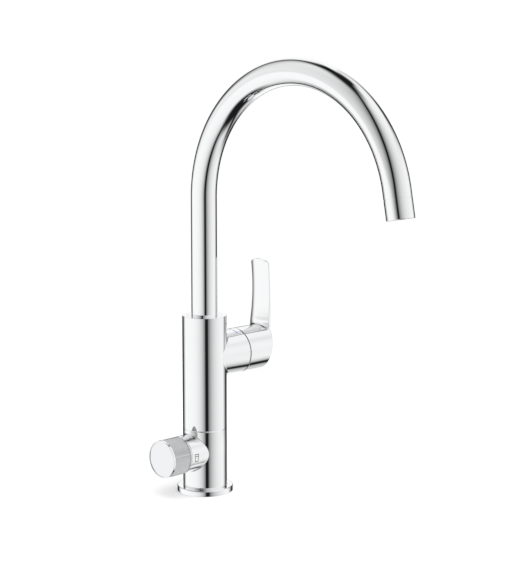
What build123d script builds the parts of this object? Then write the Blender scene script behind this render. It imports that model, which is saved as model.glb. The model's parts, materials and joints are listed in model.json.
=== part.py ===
from build123d import *
from math import acos, asin, atan2, cos, degrees, pi, radians, sin, sqrt
import os

# Water filter kitchen tap, in millimetres, +Z up. The origin is the centre of the base
# flange's underside on the worktop. At rest the spout points to -Y, the lever's housing
# points to +X and the filter knob to -X.

# Clearances between pieces, and how far a cut runs on past the metal
running = 0.05
slide_gap = 0.1
moving_gap = 0.3
press_fit = 0.01
cut_past = 1.0

# Base flange and gasket on the worktop
flange_radius = 24.0
flange_height = 4.8
flange_ledge = 2.0
flange_bore = 17.0
flange_rounding = 0.9
flange_lip_chamfer = 0.5
gasket_inner = 19.5
gasket_outer = 22.5
gasket_depth = 1.6

# Column: the lower body with the filter valve, the upper body with the cartridge
body_radius = 18.9
seam_height = 55.2
seam_chamfer = 0.3
column_rise = 35.9
spigot_height = 8.0
spigot_radius = 16.3
body_ring_low = 1.0
body_ring_height = 1.8
body_ring_depth = 1.3
grub_height = 5.6
grub_radius = 2.0
grub_bite = 0.8
cavity_drop = 18.9

# Inlets in the underside and the pipes inside the column
inlet_circle = 10.5
inlet_radius = 4.46
inlet_depth = 10.0
channel_radius = 3.5
filter_channel_radius = 2.5
pipe_radius = 4.0
pipe_bore = 3.0
socket_depth = 8.0
riser_radius = 3.5
riser_bore = 2.5
riser_rise = 8.2
riser_stand = 7.0
riser_feed_radius = 3.0
pipe_ring_width = 1.6
pipe_ring_depth = 0.7
pipe_ring_inset = 3.0

# Side branch with the mixing cartridge, on an axis along X
lever_height = 116.9
housing_root_radius = 18.4
housing_end_radius = 19.7
housing_end = 37.0
housing_blend = 3.0
neck_blend = 1.2
seat_x = 7.5
cartridge_radius = 14.0
cartridge_clearance = 0.1
cartridge_wall = 0.8
shoulder_x = 29.0
neck_height = 1.3
neck_radius = 12.4
nut_radius = 17.0
nut_height = 7.0
nut_flange = 2.0
nut_bore = 14.8
nut_notches = 6
nut_notch_width = 3.0
port_spread = 7.5
port_drop = 5.5
port_radius = 2.5
outlet_rise = 7.0
outlet_radius = 3.0
cartridge_base_height = 3.0
seal_height = 1.0
seal_wall = 1.2
fixed_disc_height = 3.0
moving_disc_height = 2.5
moving_disc_radius = 9.0
mixing_pocket_radius = 6.5
mixing_pocket_depth = 1.2
carrier_height = 5.0
carrier_radius = 8.8
carrier_flat = 7.4
carrier_socket = 2.5
carrier_relief_radius = 4.2
carrier_relief_height = 2.0
rotor_shoulder_height = 7.3
rotor_neck_radius = 10.3
rotor_neck_height = 2.6
rotor_slot_half = 8.0
rotor_lug_thickness = 1.9
rotor_lug_half = 5.0
pivot_x = 25.0
pivot_pin_radius = 1.5
pivot_pin_length = 16.0
spindle_width = 8.0
spindle_eye_radius = 3.4
spindle_ball_arm = 6.5
spindle_ball_radius = 2.4
spindle_stem_radius = 1.8
spindle_reach = 26.5
spindle_shoulder = 3.0
dome_radius = 22.3
dome_wall = 1.0
dome_opening = 15.2

# Hot and cold marks, inlaid in the housing's top
mark_x = 30.5
mark_width = 1.0
mark_arc = 19.0
mark_depth = 0.4
cold_mark_start = 62.5
hot_mark_start = 85.5

# Lever: cap and blade in one piece
lever_gap = 0.3
lever_radius = 19.7
lever_cavity_gap = 0.4
blade_root_half = 12.6
blade_waist_half = 10.6
blade_tip_half = 10.75
blade_root_height = 8.0
blade_waist_height = 49.0
blade_corner_height = 74.8
blade_tip_height = 78.2
blade_face_x = 66.2
blade_face_bow = 1.9
blade_face_low = 22.1
blade_root_fillet = 4.5
blade_root_search = 0.3
lever_back = [(53.6, -22.7), (62.9, -12.9), (66.9, 2.1), (70.0, 24.1), (70.5, 43.1), (68.6, 81.1)]
lever_back_ends = [(1, 0), (-0.08, 1)]
lever_crown = 4.0
lever_crown_half = 20.0
lever_reach = 82.0
boss_radius = 6.5
boss_start = 38.0
lever_grub_inset = 2.5
lever_grub_radius = 2.0
lever_grub_length = 6.5
lever_plug_radius = 2.5
lever_plug_length = 3.5

# Spout bearing in the top of the column
mixing_bore = 5.5
mixing_rise = 0.6
gland_height = 3.5
gland_radius = 14.5
gland_play = 0.15
upper_bush_height = 6.2
well_radius = 14.0
collar_height = 4.0
collar_radius = 12.9
lower_bush_height = 1.0
spigot_well_radius = 11.4
spout_spigot_length = 4.2
spout_spigot_groove = 1.5
spout_ring_width = 1.8
stop_slot_floor = 11.6
stop_tip_radius = 1.5
stop_tip_reach = 12.0
stop_screw_radius = 2.0
stop_screw_start = 13.6
spout_swing = 75.0
spout_overswing = 1.0
foot_bore = 8.0
foot_sleeve_height = 12.0

# Spout tube and outlet
tube_radius = 11.0
tube_wall = 1.2
spout_straight_top = 253.7
spout_arc_radius = 107.0
spout_arc_angle = 169.45
tube_tail = 5.9
aerator_height = 16.0
aerator_spigot = 5.0
aerator_ledge = 3.0
aerator_wall = 2.1
aerator_rounding = 0.5
aerator_recess = 1.0
insert_holes = 12
insert_hole_radius = 0.9
insert_hole_circle = 6.4
mesh_height = 0.5
mesh_circles = [4.4, 6.0, 7.6]
mesh_hole_radius = 0.6
mesh_hole_pitch = 1.9
aerator_seal_height = 1.0
aerator_seal_bore = 7.0
nozzle_radius = 3.0
nozzle_bore = 1.2
nozzle_collar = 4.6
nozzle_barb_length = 6.0
nozzle_stem_above = 3.0

# Filter hose inside the spout
hose_radius = 3.0
hose_bore = 2.0
coupling_radius = 5.0
coupling_rise = 3.0
coupling_socket_gap = 1.0
coupling_roof = 3.0
coupling_barb_length = 7.0
coupling_fins = 3
coupling_fin_width = 1.6
coupling_fin_height = 4.0

# Filter valve and knob, on an axis along X to the left
knob_height = 35.8
valve_seat_x = -5.5
valve_chamber_radius = 9.0
valve_chamber_end = -20.0
valve_gland_radius = 12.0
valve_seat_hole = 3.0
valve_seal_height = 1.5
valve_seal_inner = 4.0
valve_seal_outer = 8.0
valve_disc_height = 2.5
valve_disc_radius = 6.95
valve_opening_radius = 5.55
valve_disc_middle = 1.2
valve_body_bore = 7.0
valve_groove_radius = 8.0
valve_groove_width = 5.6
valve_window_width = 6.0
valve_window_length = 3.2
valve_foot_height = 4.0
valve_foot_web = 1.0
valve_stem_radius = 4.0
valve_neck_end = -28.0
valve_ring_wall = 1.2
valve_ring_width = 1.6
valve_ring_places = [-22.2, -25.4]
branch_radius = 15.85
branch_end = -29.0
neck_ring_height = 1.2
knob_radius = 16.0
knob_back = -30.5
knob_front = -50.2
knob_chamfer = 0.4
knob_band = 2.1
knob_wall = 2.0
knob_web_x = -46.0
knob_web_height = 1.5
knob_cap_radius = 15.0
knob_cap_height = 1.2
knob_cap_ledge = 14.0
flute_count = 90
flute_depth = 0.25
index_angle = 14.0
index_half_angle = 4.0
adapter_height = 12.0
adapter_hub = 7.0
adapter_ribs = 4
adapter_rib_width = 2.4
valve_square = 5.6
valve_square_start = -35.0
knob_screw_radius = 2.0
knob_screw_length = 7.0
knob_screw_head_radius = 3.5
knob_screw_head_height = 1.3
knob_screw_socket = 2.0

# Fixing set below the worktop
worktop_thickness = 30.0
stud_radius = 4.0
stud_offset = 12.0
stud_end = -60.0
stud_hole_depth = 10.0
stud_clearance = 0.3
stud_chamfer = 0.5
plate_height = 3.0
rubber_height = 3.0
plate_slot_half = 17.2
plate_slot_end = 5.5
plate_slot_corner = 5.0
fixing_nut_flats = 13.0
fixing_nut_height = 8.0

# Heights in the column's top, worked out from the lever's axis up to the rim, then down
column_top = lever_height + column_rise
cavity_top = lever_height - cavity_drop
mixing_low = lever_height + mixing_rise
gland_low = column_top - gland_height
upper_bush_low = gland_low - upper_bush_height
collar_top = upper_bush_low - slide_gap
collar_low = collar_top - collar_height
well_floor = collar_low - slide_gap - lower_bush_height
spout_spigot_low = well_floor - spout_spigot_length
spigot_well_low = spout_spigot_low - moving_gap
foot_top = collar_top + foot_sleeve_height
riser_low = knob_height + riser_rise
riser_high = collar_top + riser_stand
coupling_low = collar_top + coupling_rise
coupling_socket_top = riser_high + coupling_socket_gap
coupling_top = coupling_socket_top + coupling_roof
tube_bore = tube_radius - tube_wall
stop_height = (collar_low + collar_top) / 2
spigot_top = seam_height + spigot_height
inlet_top = flange_ledge + inlet_depth

# Places along the cartridge, worked out from its seat
base_x = seat_x + cartridge_base_height
fixed_disc_x = base_x + fixed_disc_height
moving_disc_x = fixed_disc_x + moving_disc_height
carrier_x = moving_disc_x + carrier_height
rotor_x = carrier_x + moving_gap
rotor_shoulder_x = rotor_x + rotor_shoulder_height
rotor_end = rotor_shoulder_x + rotor_neck_height
cartridge_bore = cartridge_radius - cartridge_wall
lever_start = housing_end + lever_gap
lever_cavity = dome_radius + lever_cavity_gap
spindle_end = pivot_x + spindle_reach
lever_grub_x = spindle_end - lever_grub_inset

os.makedirs("parts", exist_ok=True)


def rod_z(radius, low, high, at=(0, 0), mode=Mode.ADD):
    """Round rod upright between two heights, added to or cut from the open part."""
    with BuildSketch(Plane.XY.offset(low)) as section:
        with Locations(at):
            Circle(radius)
    extrude(section.sketch, amount=high - low, mode=mode)


def rod_x(radius, start, end, at=(0, 0), mode=Mode.ADD):
    """Round rod along X between two places, at (y, z), added to or cut from the open part."""
    with BuildSketch(Plane.YZ.offset(min(start, end))) as section:
        with Locations(at):
            Circle(radius)
    extrude(section.sketch, amount=abs(end - start), mode=mode)


def rod_y(radius, start, end, at=(0, 0), mode=Mode.ADD):
    """Round rod along Y between two places, at (x, z), added to or cut from the open part."""
    with BuildSketch(Plane.XZ.offset(-start)) as section:
        with Locations(at):
            Circle(radius)
    extrude(section.sketch, amount=start - end, mode=mode)


def block_x(width, height, start, end, at=(0, 0), mode=Mode.ADD):
    """Square bar along X, width along Y and height along Z, added to or cut from the open part."""
    with BuildSketch(Plane.YZ.offset(min(start, end))) as section:
        with Locations(at):
            Rectangle(width, height)
    extrude(section.sketch, amount=abs(end - start), mode=mode)


def tube_plane(distance):
    """Plane square to the spout, a distance past the end of its arc, facing the outlet."""
    angle = radians(spout_arc_angle)
    direction = Vector(0, -sin(angle), cos(angle))
    reach = -spout_arc_radius + spout_arc_radius * cos(angle)
    end = Vector(0, reach, spout_straight_top + spout_arc_radius * sin(angle))
    return Plane(origin=end + direction * distance, x_dir=(1, 0, 0), z_dir=direction)


def rod_outlet(radius, start, end, mode=Mode.ADD):
    """Round rod along the spout's end, distances taken from the end of its arc."""
    with BuildSketch(tube_plane(start)) as section:
        Circle(radius)
    extrude(section.sketch, amount=end - start, mode=mode)


def swan_neck(outer, inner, low, tail):
    """Pipe up from a height, round the spout's arc and on past its end by a tail."""
    with BuildSketch(Plane.XY.offset(low)) as foot:
        Circle(outer)
        Circle(inner, mode=Mode.SUBTRACT)
    extrude(foot.sketch, amount=spout_straight_top - low)
    with BuildSketch(Plane.XY.offset(spout_straight_top)) as bend:
        Circle(outer)
        Circle(inner, mode=Mode.SUBTRACT)
    centre = Axis((0, -spout_arc_radius, spout_straight_top), (1, 0, 0))
    revolve(bend.sketch, axis=centre, revolution_arc=spout_arc_angle)
    with BuildSketch(tube_plane(0)) as end:
        Circle(outer)
        Circle(inner, mode=Mode.SUBTRACT)
    extrude(end.sketch, amount=tail)


def housing_radius(x):
    """Radius of the tapered side branch at a place along X."""
    return housing_root_radius + (housing_end_radius - housing_root_radius) * x / housing_end


# Base flange: a thin rosette on the worktop, whose ledge the column stands on
with BuildPart() as base_flange:
    rod_z(flange_radius, 0, flange_height)
    fillet(base_flange.faces().sort_by(Axis.Z)[-1].edges(), flange_rounding)
    rod_z(flange_bore, 0, flange_height, mode=Mode.SUBTRACT)
    rod_z(body_radius + running, flange_ledge, flange_height, mode=Mode.SUBTRACT)
    mouth = base_flange.faces().sort_by(Axis.Z)[-1].edges().sort_by(SortBy.RADIUS)[0]
    chamfer(mouth, flange_lip_chamfer)
    with BuildSketch() as groove:
        Circle(gasket_outer)
        Circle(gasket_inner, mode=Mode.SUBTRACT)
    extrude(groove.sketch, amount=gasket_depth, mode=Mode.SUBTRACT)
base_flange.part.label = "base_flange"
export_step(base_flange.part, "parts/base_flange.step")

# Base gasket: a flat rubber ring let into the flange's underside
with BuildPart() as base_gasket:
    with BuildSketch():
        Circle(gasket_outer)
        Circle(gasket_inner, mode=Mode.SUBTRACT)
    extrude(amount=gasket_depth)
base_gasket.part.label = "base_gasket"
export_step(base_gasket.part, "parts/base_gasket.step")

# Lower body: brass foot with three inlets below, the filter valve's chamber on the left
# and a spigot on top that the upper body is pushed over
with BuildPart() as lower_body:
    rod_z(body_radius, flange_ledge, seam_height)
    rim = lower_body.edges().filter_by(GeomType.CIRCLE).sort_by(Axis.Z)[-1]
    chamfer(rim, seam_chamfer)
    rod_z(spigot_radius - running, seam_height, spigot_top)
    rod_x(branch_radius, 0, branch_end, at=(0, knob_height))
    crease = lower_body.edges().filter_by(GeomType.BSPLINE)
    fillet(crease, neck_blend)
    for side in (1, -1):
        place = (0, side * inlet_circle)
        rod_z(inlet_radius, flange_ledge, inlet_top, at=place, mode=Mode.SUBTRACT)
        rod_z(channel_radius, inlet_top, spigot_top, at=place, mode=Mode.SUBTRACT)
        rod_z(pipe_radius, spigot_top - socket_depth, spigot_top, at=place, mode=Mode.SUBTRACT)
    filter_place = (-inlet_circle, 0)
    rod_z(inlet_radius, flange_ledge, inlet_top, at=filter_place, mode=Mode.SUBTRACT)
    rod_z(filter_channel_radius, inlet_top, knob_height, at=filter_place, mode=Mode.SUBTRACT)
    rod_z(stud_radius, flange_ledge, flange_ledge + stud_hole_depth, at=(stud_offset, 0),
          mode=Mode.SUBTRACT)
    rod_x(valve_chamber_radius, valve_seat_x, branch_end, at=(0, knob_height), mode=Mode.SUBTRACT)
    rod_x(valve_gland_radius, valve_chamber_end, branch_end, at=(0, knob_height),
          mode=Mode.SUBTRACT)
    rod_x(valve_seat_hole, 0, valve_seat_x, at=(0, knob_height), mode=Mode.SUBTRACT)
    rod_z(riser_feed_radius, knob_height - valve_seat_hole, riser_low, mode=Mode.SUBTRACT)
    rod_z(riser_radius, riser_low, spigot_top, mode=Mode.SUBTRACT)
    with BuildSketch(Plane.XY.offset(seam_height + body_ring_low)) as ring_groove:
        Circle(spigot_radius)
        Circle(spigot_radius - body_ring_depth, mode=Mode.SUBTRACT)
    extrude(ring_groove.sketch, amount=body_ring_height, mode=Mode.SUBTRACT)
    rod_y(grub_radius, spigot_radius, spigot_radius - grub_bite,
          at=(0, seam_height + grub_height), mode=Mode.SUBTRACT)
lower_body.part.label = "lower_body"
export_step(lower_body.part, "parts/lower_body.step")

# Body O-ring: seals the two bodies against drips, in the spigot's groove
with BuildPart() as body_o_ring:
    with BuildSketch(Plane.XY.offset(seam_height + body_ring_low)):
        Circle(spigot_radius - press_fit)
        Circle(spigot_radius - body_ring_depth, mode=Mode.SUBTRACT)
    extrude(amount=body_ring_height)
body_o_ring.part.label = "body_o_ring"
export_step(body_o_ring.part, "parts/body_o_ring.step")

# Body grub screw: a pointed set screw at the back that holds the upper body on the spigot
with BuildPart() as body_grub_screw:
    rod_y(grub_radius, body_radius - moving_gap, spigot_radius - grub_bite,
          at=(0, seam_height + grub_height))
    hex_plane = Plane(origin=(0, body_radius - moving_gap, seam_height + grub_height),
                      x_dir=(1, 0, 0), z_dir=(0, 1, 0))
    with BuildSketch(hex_plane) as hexagon:
        RegularPolygon(grub_radius / 2, 6)
    extrude(hexagon.sketch, amount=-grub_radius / 2, mode=Mode.SUBTRACT)
body_grub_screw.part.label = "body_grub_screw"
export_step(body_grub_screw.part, "parts/body_grub_screw.step")

# Upper body: one brass casting, a column with the tapered lever housing on its right side.
# It holds the pipe sockets, the cartridge's bore and the spout's bearing.
with BuildPart() as upper_body:
    rod_z(body_radius, seam_height, column_top)
    with BuildSketch(Plane.YZ) as branch_root:
        with Locations((0, lever_height)):
            Circle(housing_root_radius)
    with BuildSketch(Plane.YZ.offset(housing_end)) as branch_mouth:
        with Locations((0, lever_height)):
            Circle(housing_end_radius)
    loft([branch_root.sketch, branch_mouth.sketch])
    crease = upper_body.edges().filter_by(GeomType.BSPLINE)
    fillet(crease, housing_blend)
    bottom_rim = upper_body.edges().filter_by(GeomType.CIRCLE).sort_by(Axis.Z)[0]
    chamfer(bottom_rim, seam_chamfer)
    rod_z(spigot_radius, seam_height, cavity_top, mode=Mode.SUBTRACT)
    for side in (1, -1):
        place = (0, side * inlet_circle)
        port = (side * port_spread, lever_height - port_drop)
        rod_z(pipe_radius, cavity_top, cavity_top + socket_depth, at=place, mode=Mode.SUBTRACT)
        rod_z(pipe_bore, cavity_top, lever_height - port_drop + port_radius, at=place,
              mode=Mode.SUBTRACT)
        rod_x(port_radius, 0, seat_x, at=port, mode=Mode.SUBTRACT)
    rod_x(outlet_radius, 0, seat_x, at=(0, lever_height + outlet_rise), mode=Mode.SUBTRACT)
    rod_z(riser_radius, cavity_top, mixing_low, mode=Mode.SUBTRACT)
    rod_z(mixing_bore, mixing_low, spigot_well_low, mode=Mode.SUBTRACT)
    rod_z(spigot_well_radius, spigot_well_low, well_floor, mode=Mode.SUBTRACT)
    rod_z(well_radius, well_floor, gland_low, mode=Mode.SUBTRACT)
    rod_z(gland_radius, gland_low, column_top, mode=Mode.SUBTRACT)
    rod_x(cartridge_radius + cartridge_clearance, seat_x, housing_end, at=(0, lever_height),
          mode=Mode.SUBTRACT)
    rod_x(nut_radius, shoulder_x, housing_end, at=(0, lever_height), mode=Mode.SUBTRACT)
    rod_y(stop_screw_radius, body_radius, stop_screw_start, at=(0, stop_height),
          mode=Mode.SUBTRACT)
    rod_y(stop_tip_radius, stop_screw_start, stop_tip_reach, at=(0, stop_height),
          mode=Mode.SUBTRACT)
    rod_y(grub_radius, body_radius, 0, at=(0, seam_height + grub_height), mode=Mode.SUBTRACT)
    with BuildSketch(Plane.XZ) as mouth_bevel:
        with BuildLine():
            reach = lever_cavity - slide_gap
            on_face = sqrt(reach ** 2 - (housing_end - pivot_x) ** 2)
            on_side = pivot_x + sqrt(reach ** 2 - housing_end_radius ** 2)
            Polyline((on_side, lever_height + housing_end_radius),
                     (housing_end, lever_height + on_face),
                     (housing_end, lever_height + housing_end_radius + cut_past),
                     (on_side, lever_height + housing_end_radius + cut_past), close=True)
        make_face()
    revolve(mouth_bevel.sketch, axis=Axis((0, 0, lever_height), (1, 0, 0)), mode=Mode.SUBTRACT)
    for start in (cold_mark_start, hot_mark_start):
        angle = radians(start)
        mark_plane = Plane(origin=(0, 0, lever_height), x_dir=(1, 0, 0),
                           z_dir=(0, -sin(angle), -cos(angle)))
        floor = housing_radius(mark_x) - mark_depth
        with BuildSketch(mark_plane) as slot:
            with Locations((mark_x, floor + mark_depth)):
                Rectangle(mark_width, 2 * mark_depth)
        revolve(slot.sketch, axis=Axis((0, 0, lever_height), (-1, 0, 0)),
                revolution_arc=mark_arc, mode=Mode.SUBTRACT)
upper_body.part.label = "upper_body"
export_step(upper_body.part, "parts/upper_body.step")


def enamel_mark(start):
    """Thin inlaid line round the housing's top, flush with its taper, in the open part."""
    angle = radians(start)
    mark_plane = Plane(origin=(0, 0, lever_height), x_dir=(1, 0, 0),
                       z_dir=(0, -sin(angle), -cos(angle)))
    low = housing_radius(mark_x) - mark_depth
    left = mark_x - mark_width / 2
    right = mark_x + mark_width / 2
    with BuildSketch(mark_plane) as strip:
        with BuildLine():
            Polyline((left, low), (right, low), (right, housing_radius(right)),
                     (left, housing_radius(left)), close=True)
        make_face()
    revolve(strip.sketch, axis=Axis((0, 0, lever_height), (-1, 0, 0)), revolution_arc=mark_arc)


# Hot mark: warm-coloured enamel line, the one towards the back
with BuildPart() as hot_mark:
    enamel_mark(hot_mark_start)
hot_mark.part.label = "hot_mark"
export_step(hot_mark.part, "parts/hot_mark.step")

# Cold mark: blue enamel line, the one towards the front
with BuildPart() as cold_mark:
    enamel_mark(cold_mark_start)
cold_mark.part.label = "cold_mark"
export_step(cold_mark.part, "parts/cold_mark.step")


def supply_pipe(side):
    """Copper pipe between the two bodies' sockets, with a groove near each end for an O-ring."""
    low = spigot_top - socket_depth
    high = cavity_top + socket_depth
    place = (0, side * inlet_circle)
    rod_z(pipe_radius - press_fit, low, high, at=place)
    rod_z(pipe_bore, low, high, at=place, mode=Mode.SUBTRACT)
    for start in pipe_ring_starts:
        with BuildSketch(Plane.XY.offset(start)) as groove:
            with Locations(place):
                Circle(pipe_radius)
                Circle(pipe_radius - pipe_ring_depth, mode=Mode.SUBTRACT)
        extrude(groove.sketch, amount=pipe_ring_width, mode=Mode.SUBTRACT)


pipe_ring_starts = [spigot_top - socket_depth + pipe_ring_inset,
                    cavity_top + socket_depth - pipe_ring_inset - pipe_ring_width]
riser_ring_starts = [riser_low + pipe_ring_inset, cavity_top + pipe_ring_inset]

with BuildPart() as hot_pipe:
    supply_pipe(1)
hot_pipe.part.label = "hot_pipe"
export_step(hot_pipe.part, "parts/hot_pipe.step")

with BuildPart() as cold_pipe:
    supply_pipe(-1)
cold_pipe.part.label = "cold_pipe"
export_step(cold_pipe.part, "parts/cold_pipe.step")

# Filter riser: the tube that keeps filtered water apart, up the middle of the column
with BuildPart() as filter_riser:
    rod_z(riser_radius - press_fit, riser_low, riser_high)
    rod_z(riser_bore, riser_low, riser_high, mode=Mode.SUBTRACT)
    for start in riser_ring_starts:
        with BuildSketch(Plane.XY.offset(start)) as riser_groove:
            Circle(riser_radius)
            Circle(riser_radius - pipe_ring_depth, mode=Mode.SUBTRACT)
        extrude(riser_groove.sketch, amount=pipe_ring_width, mode=Mode.SUBTRACT)
filter_riser.part.label = "filter_riser"
export_step(filter_riser.part, "parts/filter_riser.step")

# Pipe O-rings: six small rings, two on each pipe
with BuildPart() as pipe_o_rings:
    for place, radius, starts in (((0, inlet_circle), pipe_radius, pipe_ring_starts),
                                  ((0, -inlet_circle), pipe_radius, pipe_ring_starts),
                                  ((0, 0), riser_radius, riser_ring_starts)):
        for start in starts:
            with BuildSketch(Plane.XY.offset(start)) as ring_section:
                with Locations(place):
                    Circle(radius - press_fit)
                    Circle(radius - pipe_ring_depth, mode=Mode.SUBTRACT)
            extrude(ring_section.sketch, amount=pipe_ring_width)
pipe_o_rings.part.label = "pipe_o_rings"
export_step(pipe_o_rings.part, "parts/pipe_o_rings.step")

# Gland ring: chrome threaded ring flush with the column's top, keeps the spout down
with BuildPart() as gland_ring:
    rod_z(gland_radius, gland_low, column_top)
    rod_z(tube_radius + gland_play, gland_low, column_top, mode=Mode.SUBTRACT)
gland_ring.part.label = "gland_ring"
export_step(gland_ring.part, "parts/gland_ring.step")

# Upper bush: plastic sleeve that the spout tube turns in
with BuildPart() as upper_bush:
    rod_z(well_radius - running, upper_bush_low, gland_low)
    rod_z(tube_radius + running, upper_bush_low, gland_low, mode=Mode.SUBTRACT)
upper_bush.part.label = "upper_bush"
export_step(upper_bush.part, "parts/upper_bush.step")

# Lower bush: plastic washer that the spout's collar stands on
with BuildPart() as lower_bush:
    rod_z(well_radius - running, well_floor, well_floor + lower_bush_height)
    rod_z(spigot_well_radius + running, well_floor, well_floor + lower_bush_height,
          mode=Mode.SUBTRACT)
lower_bush.part.label = "lower_bush"
export_step(lower_bush.part, "parts/lower_bush.step")

# Swivel stop screw: its tip runs in the collar's slot and limits the spout's swing
with BuildPart() as swivel_stop_screw:
    rod_y(stop_screw_radius, body_radius - moving_gap, stop_screw_start, at=(0, stop_height))
    rod_y(stop_tip_radius, stop_screw_start, stop_tip_reach, at=(0, stop_height))
    stop_plane = Plane(origin=(0, body_radius - moving_gap, stop_height), x_dir=(1, 0, 0),
                       z_dir=(0, 1, 0))
    with BuildSketch(stop_plane) as stop_socket:
        RegularPolygon(stop_screw_radius / 2, 6)
    extrude(stop_socket.sketch, amount=-stop_screw_radius / 2, mode=Mode.SUBTRACT)
swivel_stop_screw.part.label = "swivel_stop_screw"
export_step(swivel_stop_screw.part, "parts/swivel_stop_screw.step")

# Spout foot: brass insert soldered in the tube, with the stop collar and the O-ring spigot
slot_half_angle = spout_swing + degrees(asin(stop_tip_radius / stop_tip_reach)) + spout_overswing
with BuildPart() as spout_foot:
    rod_z(spigot_well_radius - slide_gap, spout_spigot_low, collar_low)
    rod_z(collar_radius, collar_low, collar_top)
    rod_z(tube_bore, collar_top, foot_top)
    rod_z(foot_bore, spout_spigot_low, foot_top, mode=Mode.SUBTRACT)
    with BuildSketch(Plane.XY.offset(spout_spigot_low + moving_gap)) as spout_groove:
        Circle(spigot_well_radius)
        Circle(spigot_well_radius - slide_gap - spout_spigot_groove, mode=Mode.SUBTRACT)
    extrude(spout_groove.sketch, amount=spout_ring_width, mode=Mode.SUBTRACT)
    with BuildSketch(Plane.XY.offset(collar_low)) as stop_slot:
        with BuildLine():
            near = [Vector(stop_slot_floor, 0).rotate(Axis.Z, 90 + turn * slot_half_angle)
                    for turn in (-1, 0, 1)]
            far = [Vector(collar_radius + cut_past, 0).rotate(Axis.Z, 90 + turn * slot_half_angle)
                   for turn in (1, 0, -1)]
            ThreePointArc(*near)
            Line(near[2], far[0])
            ThreePointArc(*far)
            Line(far[2], near[0])
        make_face()
    extrude(stop_slot.sketch, amount=collar_height, mode=Mode.SUBTRACT)
spout_foot.part.label = "spout_foot"
export_step(spout_foot.part, "parts/spout_foot.step")

# Spout O-ring: seals the mixed water below the collar
with BuildPart() as spout_o_ring:
    with BuildSketch(Plane.XY.offset(spout_spigot_low + moving_gap)):
        Circle(spigot_well_radius - running)
        Circle(spigot_well_radius - slide_gap - spout_spigot_groove, mode=Mode.SUBTRACT)
    extrude(amount=spout_ring_width)
spout_o_ring.part.label = "spout_o_ring"
export_step(spout_o_ring.part, "parts/spout_o_ring.step")

# Spout tube: bent brass tube, straight up, round a wide arc and a short way down
with BuildPart() as spout_tube:
    swan_neck(tube_radius, tube_bore, collar_top, tube_tail)
spout_tube.part.label = "spout_tube"
export_step(spout_tube.part, "parts/spout_tube.step")

# Aerator housing: sleeve screwed into the tube's end, same outer size with a fine seam
insert_bore = tube_radius - aerator_wall
aerator_end = tube_tail + aerator_height
with BuildPart() as aerator_housing:
    rod_outlet(tube_radius, tube_tail, aerator_end)
    ends = aerator_housing.edges().filter_by(GeomType.CIRCLE).sort_by(Axis.Z)
    chamfer(ends[-1], aerator_rounding)
    fillet(ends[0], aerator_rounding)
    rod_outlet(tube_bore - press_fit, tube_tail - aerator_spigot, tube_tail)
    rod_outlet(foot_bore, tube_tail - aerator_spigot, aerator_end, mode=Mode.SUBTRACT)
    rod_outlet(insert_bore, tube_tail + aerator_ledge, aerator_end, mode=Mode.SUBTRACT)
aerator_housing.part.label = "aerator_housing"
export_step(aerator_housing.part, "parts/aerator_housing.step")

# Aerator seal: flat ring between the housing's ledge and the insert
seal_start = tube_tail + aerator_ledge
insert_start = seal_start + aerator_seal_height
insert_end = aerator_end - aerator_recess - mesh_height
with BuildPart() as aerator_seal:
    rod_outlet(insert_bore - running, seal_start, insert_start)
    rod_outlet(aerator_seal_bore, seal_start, insert_start, mode=Mode.SUBTRACT)
aerator_seal.part.label = "aerator_seal"
export_step(aerator_seal.part, "parts/aerator_seal.step")

# Aerator insert: plastic body with a ring of holes for mixed water and a middle hole
with BuildPart() as aerator_insert:
    rod_outlet(insert_bore - running, insert_start, insert_end)
    rod_outlet(nozzle_radius + running, insert_start, insert_end, mode=Mode.SUBTRACT)
    with BuildSketch(tube_plane(insert_start)) as hole_ring:
        with PolarLocations(insert_hole_circle, insert_holes):
            Circle(insert_hole_radius)
    extrude(hole_ring.sketch, amount=insert_end - insert_start, mode=Mode.SUBTRACT)
aerator_insert.part.label = "aerator_insert"
export_step(aerator_insert.part, "parts/aerator_insert.step")

# Aerator mesh: thin pierced disc over the insert's lower face
with BuildPart() as aerator_mesh:
    rod_outlet(insert_bore - running, insert_end, insert_end + mesh_height)
    rod_outlet(nozzle_radius + running, insert_end, insert_end + mesh_height, mode=Mode.SUBTRACT)
    for circle in mesh_circles:
        with BuildSketch(tube_plane(insert_end)) as pierced:
            with PolarLocations(circle, int(2 * pi * circle / mesh_hole_pitch)):
                Circle(mesh_hole_radius)
        extrude(pierced.sketch, amount=mesh_height, mode=Mode.SUBTRACT)
aerator_mesh.part.label = "aerator_mesh"
export_step(aerator_mesh.part, "parts/aerator_mesh.step")

# Filter nozzle: the middle outlet for filtered water, with a barb for the hose
nozzle_top = insert_start - nozzle_stem_above
with BuildPart() as filter_nozzle:
    rod_outlet(hose_bore - press_fit, nozzle_top - nozzle_barb_length, nozzle_top)
    rod_outlet(nozzle_radius, nozzle_top, insert_end + mesh_height)
    rod_outlet(nozzle_collar, seal_start, insert_start)
    rod_outlet(nozzle_bore, nozzle_top - nozzle_barb_length, insert_end + mesh_height,
               mode=Mode.SUBTRACT)
filter_nozzle.part.label = "filter_nozzle"
export_step(filter_nozzle.part, "parts/filter_nozzle.step")

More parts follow.
